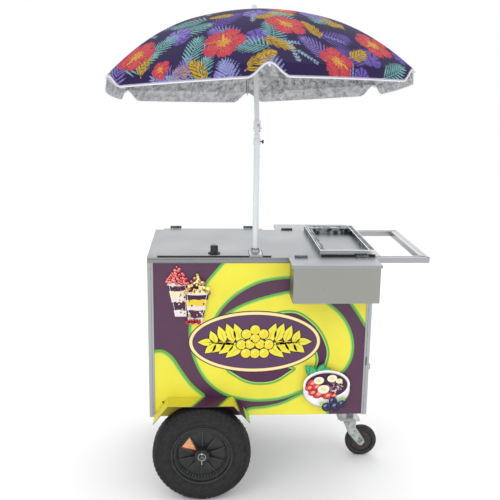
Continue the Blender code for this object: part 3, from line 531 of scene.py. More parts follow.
def hang_cloth(grid):
    """Lets a coarse net of the cloth sag and crease between the ribs with a cloth simulation."""
    rows, columns = grid.shape[:2]
    mesh = bpy.data.meshes.new("net")
    index = np.arange(rows * columns).reshape(rows, columns)
    after = np.roll(index, -1, 1)
    faces = np.stack((index[:-1], index[1:], after[1:], after[:-1]), axis=-1)
    mesh.from_pydata(grid.reshape(-1, 3).tolist(), [], faces.reshape(-1, 4).tolist())
    net = bpy.data.objects.new("net", mesh)
    bpy.context.scene.collection.objects.link(net)
    pins = net.vertex_groups.new(name="pins")
    held = np.zeros((rows, columns), bool)
    held[:2] = True
    held[:, ::SECTOR_COLUMNS] = True
    pins.add(index[held].tolist(), 1.0, "REPLACE")
    cloth = net.modifiers.new("cloth", "CLOTH")
    settings = cloth.settings
    settings.vertex_group_mass = "pins"
    settings.quality = 8
    settings.mass = 0.12
    settings.tension_stiffness = 40
    settings.compression_stiffness = 40
    settings.shear_stiffness = 10
    settings.bending_stiffness = 0.02
    settings.shrink_min = -0.012
    cloth.collision_settings.use_collision = False
    cloth.point_cache.frame_start = 1
    cloth.point_cache.frame_end = SIM_FRAMES
    for number in range(SIM_FRAMES):
        bpy.context.scene.frame_set(number + 1)
    seen = net.evaluated_get(bpy.context.evaluated_depsgraph_get()).to_mesh()
    settled = np.zeros(rows * columns * 3, np.float32)
    seen.vertices.foreach_get("co", settled)
    bpy.data.objects.remove(net, do_unlink=True)
    bpy.context.scene.frame_set(1)
    moved = settled.reshape(rows, columns, 3) - grid
    length = np.linalg.norm(moved, axis=-1, keepdims=True)
    return moved * np.minimum(1.0, LARGEST_SAG / np.maximum(length, 1e-9))


def finer(net, factor, axis, closed):
    """Reads a net at factor times as many places along an axis, on a smooth curve."""
    count = net.shape[axis]
    spots = np.arange(count * factor if closed else (count - 1) * factor + 1) / factor
    base = np.minimum(np.floor(spots).astype(int), count - 1 if closed else count - 2)
    t = (spots - base).reshape([-1 if k == axis else 1 for k in range(net.ndim)])
    near = [(base + k) % count if closed else np.clip(base + k, 0, count - 1) for k in (-1, 0, 1, 2)]
    return between([np.take(net, place, axis=axis) for place in near], t)


STALK_BEND = 0.35


class Print:
    """Paints motifs on points of a flat chart of the cloth, in metres from its crown."""

    def __init__(self, x, y, ground):
        self.x, self.y = x.ravel(), y.ravel()
        self.colour = np.tile(np.array(shade(ground)), (self.x.size, 1))

    def near(self, centre, heading, reach):
        """The points within reach of centre, in a frame that points along heading."""
        dx, dy = self.x - centre[0], self.y - centre[1]
        close = np.nonzero((np.abs(dx) < reach) & (np.abs(dy) < reach))[0]
        c, s = math.cos(heading), math.sin(heading)
        dx, dy = dx[close], dy[close]
        return close, c * dx + s * dy, c * dy - s * dx

    def paint(self, where, colour, share=1.0):
        blend = np.broadcast_to(np.asarray(share, float), where.shape)[:, None]
        self.colour[where] = self.colour[where] * (1 - blend) + np.array(shade(colour)) * blend

    def leaf(self, root, heading, length, width, colour, vein=None):
        where, x, y = self.near(root, heading, length * 1.05)
        t = np.clip(x / length, 0, 1)
        edge = width * np.sin(np.pi * t ** 0.8) ** 0.9
        inside = (x > 0) & (x < length) & (np.abs(y) < edge)
        self.paint(where[inside], colour)
        if vein:
            rib = inside & (np.abs(y) < 0.0016)
            self.paint(where[rib], vein)

    def frond(self, root, heading, length, colour, leaflets, width, opening, vein=None):
        """A palm leaf: leaflets in pairs along a curved stalk."""

        def stalk(t):
            turn = heading + STALK_BEND * t / 2
            spot = (root[0] + length * t * math.cos(turn), root[1] + length * t * math.sin(turn))
            return spot, heading + STALK_BEND * t

        for number in range(leaflets):
            t = (number + 0.6) / leaflets
            spot, turn = stalk(t)
            reach = length * (0.22 + 0.32 * math.sin(math.pi * min(0.25 + 0.75 * t, 1.0)))
            spread = math.radians(opening * (1 - 0.45 * t))
            for side in (-1, 1):
                self.leaf(spot, turn + side * spread, reach, width, colour, vein)
        self.leaf(*stalk(1.0), length * 0.22, width, colour)
        for step in range(12):
            self.leaf(*stalk(step / 12), length / 8, 0.0016, colour)

    def monstera(self, centre, heading, size, colour, ground):
        """A heart-shaped leaf, slit from its edge towards the midrib."""
        where, x, y = self.near(centre, heading, size * 1.3)
        angle, radius = np.arctan2(y, x), np.hypot(x, y)
        cleft = np.exp(-((np.abs(angle) - math.pi) / 0.35) ** 2)
        edge = size * (0.80 + 0.26 * np.cos(angle) - 0.30 * cleft)
        inside = radius < edge
        self.paint(where[inside], colour)
        slits = np.abs(np.sin(angle * 5.0 + 0.3 * np.sign(angle))) < 0.30
        self.paint(where[inside & slits & (radius > 0.42 * edge)], ground)
        midrib = inside & (np.abs(y) < 0.0018)
        self.paint(where[midrib], ground)

    def hibiscus(self, centre, heading, size, colours):
        """Five ragged petals with fine rays from a warm middle, and a long stamen."""
        petal, deep, ray, heart = colours
        where, x, y = self.near(centre, heading, size * 1.2)
        angle, radius = np.arctan2(y, x), np.hypot(x, y)
        lobe = np.abs(np.cos(2.5 * angle))
        ragged = 0.035 * np.sin(23 * angle) + 0.02 * np.sin(41 * angle + 1)
        edge = size * (0.72 + 0.28 * lobe ** 0.5 + ragged)
        inside = radius < edge
        share = np.clip(radius / size, 0, 1)
        self.paint(where[inside], petal)
        fold = inside & (lobe < 0.10 + 0.16 * share) & (share > 0.30)
        self.paint(where[fold], deep, 0.75)
        rays = inside & (np.abs(np.sin(15 * angle)) < 0.30 * (1.10 - share)) & (share < 0.80)
        self.paint(where[rays], ray)
        glow = inside & (share < 0.20 + 0.14 * lobe ** 3)
        self.paint(where[glow], ray, 0.85)
        star = inside & (np.abs(np.sin(5 * angle)) < 0.35) & (share < 0.34)
        self.paint(where[star], heart)
        self.leaf(centre, heading + 0.5, size * 0.72, size * 0.045, heart)

    def sprig(self, root, heading, length, colour):
        """A thin stem with small leaves in pairs."""
        for step in range(7):
            t = (step + 1) / 7.5
            spot = (root[0] + length * t * math.cos(heading), root[1] + length * t * math.sin(heading))
            for side in (-1, 1):
                self.leaf(spot, heading + side * 0.85, length * 0.15, length * 0.032, colour)
        self.leaf(root, heading, length, 0.0014, colour)


NIGHT = "#33245a"
CORAL = ("#e04a60", "#b52a50", "#f6a343", "#f9cf57")
LAVENDER, VIOLET, MINT, ICE = "#9a86dc", "#7c62c8", "#8accc8", "#a6b4ea"
GOLD, GOLD_DARK, SPRIG = "#e6bc34", "#7b5a2c", "#a8c4d8"


def on_chart(reach, degrees):
    """Chart place of a motif: reach from the crown, turned from the front towards the handle."""
    return reach * math.sin(math.radians(degrees)), -reach * math.cos(math.radians(degrees))


SCATTERED = 190
FRONT_FLOWERS = [(0.505, -54, 0.070), (0.465, -16, 0.070), (0.375, 11, 0.066), (0.545, 25, 0.062),
                 (0.47, 52, 0.068), (0.555, -38, 0.034), (0.20, -62, 0.050)]
OTHER_FLOWERS = [(0.48, 84, 0.066), (0.30, 102, 0.060), (0.52, 118, 0.068), (0.45, 147, 0.066),
                 (0.25, 165, 0.058), (0.54, 173, 0.066), (0.42, 203, 0.068), (0.55, 228, 0.066),
                 (0.30, 240, 0.060), (0.47, 259, 0.068), (0.52, 288, 0.066), (0.22, 20, 0.046)]
FRONT_LEAVES = [("monstera", 0.41, -42, 0.050), ("monstera", 0.475, -3, 0.050), ("monstera", 0.54, 41, 0.052),
                ("monstera", 0.56, 60, 0.050), ("monstera", 0.60, 34, 0.036), ("frond", 0.595, -33, LAVENDER),
                ("frond", 0.610, -12, ICE), ("frond", 0.50, 20, LAVENDER), ("frond", 0.44, 31, VIOLET),
                ("frond", 0.49, -27, MINT), ("frond", 0.60, -62, MINT), ("frond", 0.47, -45, MINT),
                ("frond", 0.50, -4, MINT), ("frond", 0.44, 4, MINT), ("frond", 0.32, 13, MINT),
                ("frond", 0.60, 49, MINT), ("frond", 0.31, -43, MINT), ("frond", 0.33, -20, VIOLET),
                ("gold", 0.545, -46, 0.088), ("gold", 0.575, -22, 0.092), ("gold", 0.585, -3, 0.100),
                ("gold", 0.50, 3, 0.090), ("gold", 0.40, 24, 0.088), ("gold", 0.52, 36, 0.085),
                ("gold", 0.33, 1, 0.070), ("gold", 0.28, -23, 0.070), ("gold", 0.35, 42, 0.072),
                ("sprig", 0.58, 10, 0.095), ("sprig", 0.37, -5, 0.080), ("sprig", 0.60, -28, 0.075)]


def scatter_leaves(rng):
    """Leaves in random places: most of them away from the front, the last ones to be painted first."""
    leaves = []
    for number in range(SCATTERED):
        reach, degrees = math.sqrt(rng.uniform(0.012, 0.41)), rng.uniform(66, 300)
        if rng.random() < 0.16:
            reach, degrees = rng.uniform(0.08, 0.30), rng.uniform(-60, 66)
        elif number % 8 == 0:
            reach, degrees = math.sqrt(rng.uniform(0.09, 0.41)), rng.uniform(-62, 66)
        kind = rng.choice(["monstera", "frond", "frond", "gold", "sprig"])
        tone = rng.choice([LAVENDER, MINT, ICE, VIOLET])
        extra = {"monstera": 0.048, "gold": 0.085, "sprig": 0.08, "frond": tone}
        leaves.insert(0, (kind, reach, degrees, extra[kind]))
    return leaves


def paint_canopy(x, y):
    """Tropical flowers and leaves. Those that face the front have chosen places, the rest are scattered.
    The last value of each is a size, or a palm leaf's colour."""
    draw = Print(x, y, NIGHT)
    rng = random.Random(11)
    for kind, reach, degrees, extra in scatter_leaves(rng) + FRONT_LEAVES:
        spot = on_chart(reach, degrees)
        heading = math.radians(degrees) + rng.uniform(-1.2, 1.2) + rng.choice([0.6, 2.2])
        if kind == "monstera":
            draw.monstera(spot, heading, extra, rng.choice([LAVENDER, VIOLET]), NIGHT)
        elif kind == "sprig":
            draw.sprig(spot, heading, extra, SPRIG)
        else:
            length = 0.110 if kind == "frond" else extra
            root = (spot[0] - length / 2 * math.cos(heading), spot[1] - length / 2 * math.sin(heading))
            if kind == "frond":
                draw.frond(root, heading, length, extra, 9, 0.0027, 54.0)
            else:
                draw.frond(root, heading, length, GOLD, 5, 0.0058, 42.0, GOLD_DARK)
    for reach, degrees, size in FRONT_FLOWERS + OTHER_FLOWERS:
        draw.hibiscus(on_chart(reach, degrees), math.radians(degrees) + rng.uniform(0, 6), size, CORAL)
    return draw.colour


def grid_mesh(name, points, colour, chart):
    """A mesh of quads over a grid of points, with point colours and a flat chart as its UV map."""
    rows, columns = points.shape[:2]
    index = np.arange(rows * columns).reshape(rows, columns)
    corners = (index[:-1, :-1], index[1:, :-1], index[1:, 1:], index[:-1, 1:])
    faces = np.stack(corners, axis=-1).reshape(-1, 4)
    mesh = bpy.data.meshes.new(name)
    mesh.vertices.add(rows * columns)
    mesh.vertices.foreach_set("co", points.astype(np.float32).ravel())
    mesh.loops.add(faces.size)
    mesh.loops.foreach_set("vertex_index", faces.astype(np.int32).ravel())
    mesh.polygons.add(len(faces))
    mesh.polygons.foreach_set("loop_start", np.arange(0, faces.size, 4, dtype=np.int32))
    mesh.update(calc_edges=True)
    mesh.polygons.foreach_set("use_smooth", [True] * len(faces))
    add_print(mesh, colour)
    uv = mesh.uv_layers.new(name="chart")
    uv.data.foreach_set("uv", chart.reshape(-1, 2)[faces.ravel()].astype(np.float32).ravel())
    return mesh


HEM_STRIP, HEM_RADIUS = 0.0062, 0.0019
RIB_UNDER_CLOTH = 0.0064
TIP_PROFILE = [(0, -0.010), (0.0031, -0.010), (0.0033, -0.002), (0.0036, 0.0), (0.0036, 0.003),
               (0.0026, 0.0052), (0, 0.006)]
TIE_PROFILE = [(0.0023, -0.002), (0.0031, -0.0012), (0.0031, 0.0012), (0.0023, 0.002)]


def make_canopy():
    """Six petals of one continuous cloth. Each rides on its rib."""
    net, _ = polar_grid((SLOPE_ROWS, VALANCE_ROWS), SECTOR_COLUMNS)
    sag = hang_cloth(net)
    columns = SECTOR_COLUMNS * FINE
    rest, angle = polar_grid((SLOPE_ROWS * FINE, VALANCE_ROWS * FINE), columns)
    cloth = rest + finer(finer(sag, FINE, 1, True), FINE, 0, False)
    steps = np.linalg.norm(np.diff(rest, axis=0), axis=-1)
    arc = CLOTH_INNER + np.concatenate((np.zeros((1, rest.shape[1])), np.cumsum(steps, axis=0)))
    chart = np.stack((arc * np.sin(angle), -arc * np.cos(angle)), axis=-1)
    colour = paint_canopy(chart[..., 0], chart[..., 1]).reshape(rest.shape[:2] + (4,))
    colour[arc[-1] - arc < HEM_STRIP] = shade("#dcd8ea")
    world = cloth @ np.array(LEAN.to_3x3()).T + np.array(LEAN.translation)
    for k in range(RIBS):
        take = (np.arange(-columns // 2, columns // 2 + 1) + k * columns) % (columns * RIBS)
        mesh = grid_mesh(f"canopy_petal_{k + 1}", world[:, take], colour[:, take], chart[:, take])
        mesh.materials.append(CLOTH_OUTSIDE)
        mesh.materials.append(CLOTH_INSIDE)
        petal = piece(mesh.name, mesh, None, f"rib_{k + 1}")
        thick = petal.modifiers.new("coating", "SOLIDIFY")
        thick.thickness = CLOTH
        thick.offset = -1.0
        thick.material_offset = 1
        thick.use_rim = True
        shape = bmesh.new()
        bar(shape, world[-1, take][::4], HEM_RADIUS, 6)
        hem = finished(f"canopy_hem_{k + 1}", shape, HEM_TAPE, f"rib_{k + 1}", angle=60)
        turn = math.tau * k / RIBS
        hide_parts(f"canopy_panel_{k + 1}")
        for cloth_piece in (petal, hem):
            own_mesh(cloth_piece)
        trim_rib(k, turn)


def trim_rib(k, turn):
    """A tip cap on the rib's end, and the thread ties that hold the cloth to it."""
    outwards = Vector((math.sin(turn), -math.cos(turn), 0))

    def on_rib(radius):
        return LEAN @ (outwards * radius + Vector((0, 0, dome_level(radius) - RIB_UNDER_CLOTH)))

    end = on_rib(CANOPY_RADIUS)
    shape = bmesh.new()
    lathe(shape, TIP_PROFILE, end, end - on_rib(CANOPY_RADIUS - 0.012), 16)
    finished(f"rib_tip_{k + 1}", shape, TIP_PLASTIC, f"rib_{k + 1}")
    shape = bmesh.new()
    for radius in (0.30, 0.41, 0.50):
        lathe(shape, TIE_PROFILE, on_rib(radius), on_rib(radius + 0.01) - on_rib(radius), 12)
    finished(f"rib_ties_{k + 1}", shape, HEM_TAPE, f"rib_{k + 1}")


make_canopy()

# ---------------------------------------------------------------- printed artwork

WINDOW = (0.0203, 0.7797, 0.2935, 0.8715)       # the panel between its folded edges: x from, to, z from, to
LAYER = 0.00005                                 # each layer of print stands this far over the last
MM = 0.001
BLADE_STEPS = 12
INK, SPRAY_EDGE = "#3e2440", "#2c1834"


def clip(points, bounds):
    """Cuts an outline to a rectangle."""
    left, right, bottom, top = bounds
    sides = ((0, left, 1), (0, right, -1), (1, bottom, 1), (1, top, -1))
    for axis, limit, sign in sides:
        kept = []
        for one, two in zip(points, points[1:] + points[:1]):
            a, b = sign * (one[axis] - limit), sign * (two[axis] - limit)
            if a >= 0:
                kept.append(one)
            if a * b < 0:
                t = a / (a - b)
                kept.append((one[0] + (two[0] - one[0]) * t, one[1] + (two[1] - one[1]) * t))
        points = kept
        if len(points) < 3:
            return []
    return points


def grown(points, by):
    """An outline moved outwards by a distance, or inwards if it is negative."""
    following = points[1:] + points[:1]
    area = sum(a[0] * b[1] - b[0] * a[1] for a, b in zip(points, following))
    sign = 1 if area > 0 else -1
    moved = []
    for (x, y), before, after in zip(points, points[-1:] + points[:-1], following):
        dx, dy = after[0] - before[0], after[1] - before[1]
        size = math.hypot(dx, dy) or 1.0
        moved.append((x + sign * by * dy / size, y - sign * by * dx / size))
    return moved


def placed(outline, x, z, turn):
    """An outline turned, and then moved to x, z."""
    c, s = math.cos(turn), math.sin(turn)
    return [(x + c * a - s * b, z + s * a + c * b) for a, b in outline]


def ellipse(x, z, across, high_by, turn=0.0, steps=48):
    turns = [math.tau * k / steps for k in range(steps)]
    return placed([(across * math.cos(a), high_by * math.sin(a)) for a in turns], x, z, turn)


def blade(x, z, heading, length, width):
    """Outline of a pointed leaf, from its root round its tip and back."""
    shares = [k / BLADE_STEPS for k in range(BLADE_STEPS + 1)]
    edge = [(length * t, width * math.sin(math.pi * t ** 0.8)) for t in shares]
    return placed(edge + [(a, -b) for a, b in reversed(edge[1:-1])], x, z, heading)


def in_mm(points, closed=True):
    """A smooth outline through points given in millimetres."""
    return [(float(p[0]) * MM, float(p[1]) * MM) for p in catmull(points, 8, closed)]


class Artwork:
    """Flat coloured shapes in layers, in the panel's x and z from the body's left foot and the ground."""

    def __init__(self):
        self.shapes = []
        self.layer = 0

    def add(self, outline, colour):
        outline = clip(outline, WINDOW)
        if outline:
            self.layer += 1
            self.shapes.append((outline, shade(colour), self.layer))

    def group(self, outlines, colour):
        """Shapes of one colour that may share a layer."""
        self.layer += 1
        for outline in outlines:
            outline = clip(outline, WINDOW)
            if outline:
                self.shapes.append((outline, shade(colour), self.layer))

    def oval(self, x, z, across, tall, colour, turn=0.0, steps=48):
        self.add(ellipse(x, z, across, tall, turn, steps), colour)

    def mesh(self, name, place):
        """place takes x, z and a height above the surface to a point in the frame."""
        points, faces, colours = [], [], []
        for outline, colour, layer in self.shapes:
            triangles = tessellate_polygon([[Vector((x, z, 0)) for x, z in outline]])
            faces += [[len(points) + i for i in triangle] for triangle in triangles]
            points += [place(x, z, layer * LAYER) for x, z in outline]
            colours += [colour] * len(outline)
        mesh = bpy.data.meshes.new(name)
        mesh.from_pydata(points, [], faces)
        add_print(mesh, colours)
        return mesh


def draw_bands(art):
    """Purple and yellow bands that swirl round the badge, with green edges."""
    swirl = in_mm([(292, 890), (244, 834), (203, 780), (170, 710), (156, 640), (159, 570), (177, 503),
                   (214, 436), (274, 386), (346, 364), (412, 359), (484, 368), (556, 396), (627, 424),
                   (687, 455), (720, 500), (730, 551), (720, 608), (690, 665), (639, 713), (586, 745),
                   (526, 761), (410, 736), (330, 706), (275, 672)], False)
    gap = in_mm([(225, 655), (240, 690), (272, 732), (318, 772), (385, 808), (454, 823), (526, 828),
                 (603, 823), (675, 791), (741, 710), (800, 620)], False)
    ring = swirl + gap + [(0.86, 0.93), (0.29, 0.93)]
    corner = in_mm([(353, 270), (361, 308), (424, 317), (484, 331), (532, 354), (574, 374), (616, 362),
                    (640, 330), (618, 270)])
    wedge = in_mm([(0, 526), (24, 536), (50, 535), (78, 511), (108, 462), (146, 408), (192, 366)], False)
    wedge += [(0.164, 0.322), (0.131, 0.280), (0.0, 0.280)]
    for outline, green_edge in ((ring, 0.0125), (corner, 0.0125), (wedge, 0.0150)):
        art.add(grown(outline, green_edge), GREEN)
        art.add(grown(outline, 0.0042), LIME)
        art.add(outline, YELLOW)
    inner = in_mm([(451, 688), (523, 697), (586, 660), (630, 605), (653, 541), (645, 484), (628, 445),
                   (586, 448), (602, 513), (562, 602), (496, 650)])
    crescent = in_mm([(280, 478), (316, 439), (358, 418), (406, 412), (454, 419), (496, 443), (528, 480),
                      (406, 500)])
    for outline in (inner, crescent):
        art.add(outline, GREEN)
        art.add(grown(outline, -0.0068), LIME)
        art.add(grown(outline, -0.0106), PURPLE)


def draw_badge(art):
    """An oval with a cream rim, and a plain spray of leaves and berries inside it."""
    x, z, across, tall = 0.3807, 0.579, 0.236, 0.114
    for inset, tone in ((-0.0035, INK), (0.0, "#f3d27c"), (0.0022, "#fbe7ae"), (0.0100, "#f3d27c"),
                        (0.0114, INK), (0.0130, "#5a3a5b")):
        art.oval(x, z, across - inset, tall - inset, tone, steps=96)
    spray = []
    for side in (-1, 1):
        for number in range(4):
            t = number / 3
            spot = (x + side * (0.044 + 0.096 * t), z - 0.008 + 0.010 * math.sin(math.pi * t))
            heading = math.pi / 2 - side * (math.pi / 2 - 0.25)
            for turn, length in ((0.95, 0.084), (-0.95, 0.080)):
                spray.append(blade(*spot, heading + turn * side, length * (1 - 0.34 * t),
                                   0.0185 * (1 - 0.22 * t)))
        spray.append(blade(x + side * 0.148, z, math.pi / 2 - side * math.pi / 2, 0.058, 0.0135))
    stems = [blade(x + side * 0.030, z - 0.010, math.pi / 2 - side * (math.pi / 2 - 0.06), 0.140, 0.0050)
             for side in (-1, 1)]
    art.group([grown(leaf, 0.0032) for leaf in spray + stems], SPRAY_EDGE)
    art.group(spray + stems, YELLOW)
    veins = []
    for leaf in spray:
        root, tip = leaf[0], leaf[BLADE_STEPS]
        heading = math.atan2(tip[1] - root[1], tip[0] - root[0])
        veins.append(blade(*root, heading, math.dist(root, tip) * 0.72, 0.0013))
    art.group(veins, "#c9a52e")
    berries = [(0.0, 0.046), (-0.031, 0.030), (0.031, 0.030), (-0.018, -0.008), (0.018, -0.008),
               (-0.049, -0.010), (0.049, -0.010), (0.0, -0.044), (-0.033, -0.043), (0.033, -0.043),
               (0.0, 0.012)]
    for side, up, wide, high_by, turn, steps, tone in ((0.0, 0.0, 0.0205, 0.0205, 0.0, 32, SPRAY_EDGE),
                                                       (0.0, 0.0, 0.0175, 0.0175, 0.0, 32, YELLOW),
                                                       (0.002, -0.002, 0.0120, 0.0120, 0.0, 24, "#f2d530"),
                                                       (-0.005, 0.006, 0.0040, 0.0029, 0.6, 12, "#fff6b8")):
        art.group([ellipse(x + a + side, z + b + up, wide, high_by, turn, steps) for a, b in berries], tone)


def draw_cup(art, rng, rim_ends, rim, foot_ends, foot, peak, berries, fruit, shine):
    """A clear cup of layered cream and dark purple, heaped with fruit."""
    (left, right), (foot_left, foot_right) = rim_ends, foot_ends

    def across(z, t):
        share = (z - foot) / (rim - foot)
        a, b = foot_left + (left - foot_left) * share, foot_right + (right - foot_right) * share
        return a + (b - a) * t

    def layer(bottom, top, colour, wobble):
        low_edge = [(across(bottom, t / 8), bottom + rng.uniform(-wobble, wobble)) for t in range(9)]
        high_edge = [(across(top, t / 8), top + rng.uniform(-wobble, wobble)) for t in range(8, -1, -1)]
        art.add(low_edge + high_edge, colour)

    layer(foot, rim, "#d9c9d3", 0.0)
    heights = [foot + (rim - foot) * share for share in (0.02, 0.20, 0.45, 0.58, 0.80, 0.97)]
    tones = ["#e9dfe0", "#4a2440", "#e8dbd6", fruit, "#3f1f38"]
    for bottom, top, tone in zip(heights, heights[1:], tones):
        layer(bottom, top + 0.002, tone, 0.0022)
    specks = ["#f4ecec", "#6d3a5c", "#8a4a68", fruit, "#2c1528"]
    for _ in range(26):
        z = rng.uniform(foot + 0.006, rim - 0.006)
        x = across(z, rng.uniform(0.10, 0.90))
        speck = ellipse(x, z, rng.uniform(0.0018, 0.0045), rng.uniform(0.0015, 0.0035), rng.uniform(0, 3), 12)
        art.add(speck, rng.choice(specks))
    for t in (0.07, 0.90):
        base, top, width = across(foot + 0.004, t), across(rim, t), 0.0012
        shine_line = [(base, foot + 0.004), (base + width, foot + 0.004), (top + width, rim), (top, rim)]
        art.add(shine_line, "#ffffff")
    centre, half = (left + right) / 2, (right - left) / 2
    art.oval(centre, rim, half + 0.002, 0.0065, "#e9e4e6", steps=32)
    heap = []
    for number in range(64):
        rise = peak * (1 - math.sqrt(number / 63))
        reach = half * 1.10 * (1 - (rise / peak) ** 1.15) + 0.004
        heap.append((centre + rng.uniform(-1, 1) * reach, rim + 0.002 + rise))
    for x, z in sorted(heap, key=lambda spot: -spot[1]):
        size = rng.uniform(0.0042, 0.0068)
        tone = rng.choice(berries)
        art.oval(x, z, size, size * 0.86, tone, rng.uniform(0, 3), 14)
        art.oval(x - size * 0.25, z + size * 0.3, size * 0.35, size * 0.25, shine, 0.5, 10)


def draw_strawberry(art, x, z, size):
    art.oval(x, z, size, size * 0.72, "#a81f2e", 0.4, 24)
    art.oval(x, z + 0.001, size * 0.86, size * 0.58, "#d8393f", 0.4, 24)
    art.oval(x + 0.002, z + 0.001, size * 0.46, size * 0.28, "#f4a49a", 0.4, 20)
    for number in range(8):
        turn = math.tau * number / 8
        spot = (x + size * 0.62 * math.cos(turn), z + size * 0.42 * math.sin(turn))
        art.oval(*spot, 0.0008, 0.0006, "#f5d060", steps=6)


def draw_banana(art, x, z, size):
    art.oval(x, z - 0.0015, size, size * 0.78, "#cdb98a", 0.1, 28)
    art.oval(x, z, size, size * 0.75, "#f6efd3", 0.1, 28)
    art.oval(x, z, size * 0.52, size * 0.36, "#ece0b2", 0.1, 20)
    seeds = [(x + size * 0.22 * math.cos(turn), z + size * 0.16 * math.sin(turn)) for turn in (0.3, 2.4, 4.5)]
    art.group([ellipse(*seed, 0.0009, 0.0007, steps=6) for seed in seeds], "#8d7744")


def draw_dark_berry(art, x, z, size):
    art.oval(x, z, size, size, "#1d1c33", steps=32)
    art.oval(x - 0.001, z + 0.001, size * 0.82, size * 0.80, "#33345a", steps=28)
    art.oval(x - size * 0.30, z + size * 0.30, size * 0.36, size * 0.26, "#7f86b4", 0.7, 16)
    art.oval(x + size * 0.25, z - size * 0.05, size * 0.26, size * 0.22, "#14132a", steps=12)


def draw_bowl(art, rng):
    """A white bowl of fruit, with leaves behind it and dark berries in front."""
    x, z = 0.6440, 0.4080
    leaves = [(0.606, 0.450, 2.35, 0.062, 0.020), (0.600, 0.444, 1.90, 0.054, 0.017),
              (0.612, 0.460, 1.10, 0.046, 0.015), (0.622, 0.462, 0.55, 0.042, 0.013)]
    for a, b, heading, length, width in leaves:
        art.add(blade(a, b, heading, length, width), "#2f8f58")
        art.add(blade(a, b, heading, length * 0.92, width * 0.62), "#4bb377")
        art.add(blade(a, b, heading, length * 0.88, 0.0008), "#1f6b40")
    bowl = [(0.0, -0.010, 0.0860, 0.0700, "#b9b0bd", 64), (0.0, -0.008, 0.0845, 0.0690, "#e9e6ec", 64),
            (-0.012, -0.036, 0.052, 0.032, "#f7f6f8", 48), (0.0, 0.010, 0.0855, 0.0560, "#ffffff", 64),
            (0.0, 0.010, 0.0790, 0.0500, "#d2c6cf", 64), (0.0, 0.008, 0.0765, 0.0475, "#42203a", 64)]
    for side, up, across, tall, tone, steps in bowl:
        art.oval(x + side, z + up, across, tall, tone, steps=steps)
    crumbs = ["#6b3f63", "#8d5f7f", "#2a1428", "#b78f9f", "#e7d3d6"]
    for _ in range(60):
        angle, reach = rng.uniform(-1.2, 1.2), math.sqrt(rng.uniform(0, 0.80))
        spot = (x + 0.068 * reach * math.cos(angle), z + 0.008 + 0.040 * reach * math.sin(angle))
        crumb = ellipse(*spot, rng.uniform(0.003, 0.007), rng.uniform(0.002, 0.004), rng.uniform(0, 3), 12)
        art.add(crumb, rng.choice(crumbs))
    for a, b, size in ((-0.052, 0.018, 0.021), (-0.064, 0.000, 0.016), (-0.038, 0.004, 0.018),
                       (-0.030, -0.024, 0.022), (-0.052, -0.018, 0.016), (0.004, -0.030, 0.019),
                       (0.026, -0.030, 0.013)):
        draw_strawberry(art, x + a, z + b, size)
    for a, b, size in ((-0.030, 0.030, 0.0185), (0.018, 0.038, 0.0180), (-0.012, -0.004, 0.0215),
                       (0.044, 0.028, 0.012)):
        draw_banana(art, x + a, z + b, size)
    art.add(blade(0.690, 0.352, 0.6, 0.030, 0.010), "#8fbf63")
    art.add(blade(0.640, 0.338, 2.6, 0.026, 0.009), "#a9cf6f")
    for a, b, size in ((0.668, 0.358, 0.0150), (0.645, 0.334, 0.0175), (0.679, 0.336, 0.0185),
                       (0.702, 0.346, 0.0140)):
        draw_dark_berry(art, a, b, size)


RED_HEAP = ["#c5202f", "#e14a4c", "#9c1526", "#f0776c", "#d83a3e"]
GOLD_HEAP = ["#e8d36a", "#f3e79a", "#c9a544", "#b5503f", "#8c3d33", "#f6efc0"]


def make_front_print(side):
    """The vinyl of one printed panel. The rear one is the same picture seen from behind."""
    art = Artwork()
    rng = random.Random(5)
    draw_bands(art)
    draw_badge(art)
    draw_cup(art, rng, (0.070, 0.139), 0.795, (0.096, 0.136), 0.676, 0.060, RED_HEAP, "#efe3c0", "#f9c9c4")
    draw_cup(art, rng, (0.132, 0.216), 0.764, (0.142, 0.190), 0.652, 0.066, GOLD_HEAP, "#e8c93c", "#fff6cf")
    art.group([ellipse(0.140 + 0.010 * k, 0.660 + 0.004 * (k % 2), 0.0085, 0.0070, 0.3 * k, 16)
               for k in range(5)], "#b92434")
    draw_bowl(art, rng)
    front = side == "front"
    face = low("front_panel").y if front else high("rear_panel").y

    def place(x, z, above):
        along = BODY_LEFT + x if front else BODY_RIGHT - x
        return (along, face + OUTWARD[side] * (above + 0.0001), z)

    mesh = art.mesh(f"print_{side}", place)
    piece(mesh.name, mesh, VINYL, "cart")


HOOD_PROFILE = [(0.01662, 0.30163), (0.06952, 0.36752), (0.30343, 0.36752), (0.36274, 0.30267)]
HOOD_YELLOW, HOOD_STRIPS, HOOD_FILM = "#dccf3a", 10, 0.00025
# Each band's edges as lengths along the hood's profile: at the lip and at the panel, from and to.
HOOD_BANDS = [(HOOD_YELLOW, 0.0, 0.0, 0.165, 0.205), (GREEN, 0.165, 0.205, 0.173, 0.215),
              (PURPLE, 0.173, 0.215, 0.262, 0.300), (GREEN, 0.262, 0.300, 0.270, 0.309),
              (HOOD_YELLOW, 0.270, 0.309, 0.345, 0.322), (GREEN, 0.345, 0.322, 0.352, 0.332),
              (PURPLE, 0.352, 0.332, 0.386, 0.372), (LIME, 0.386, 0.372, 0.420, 0.420)]


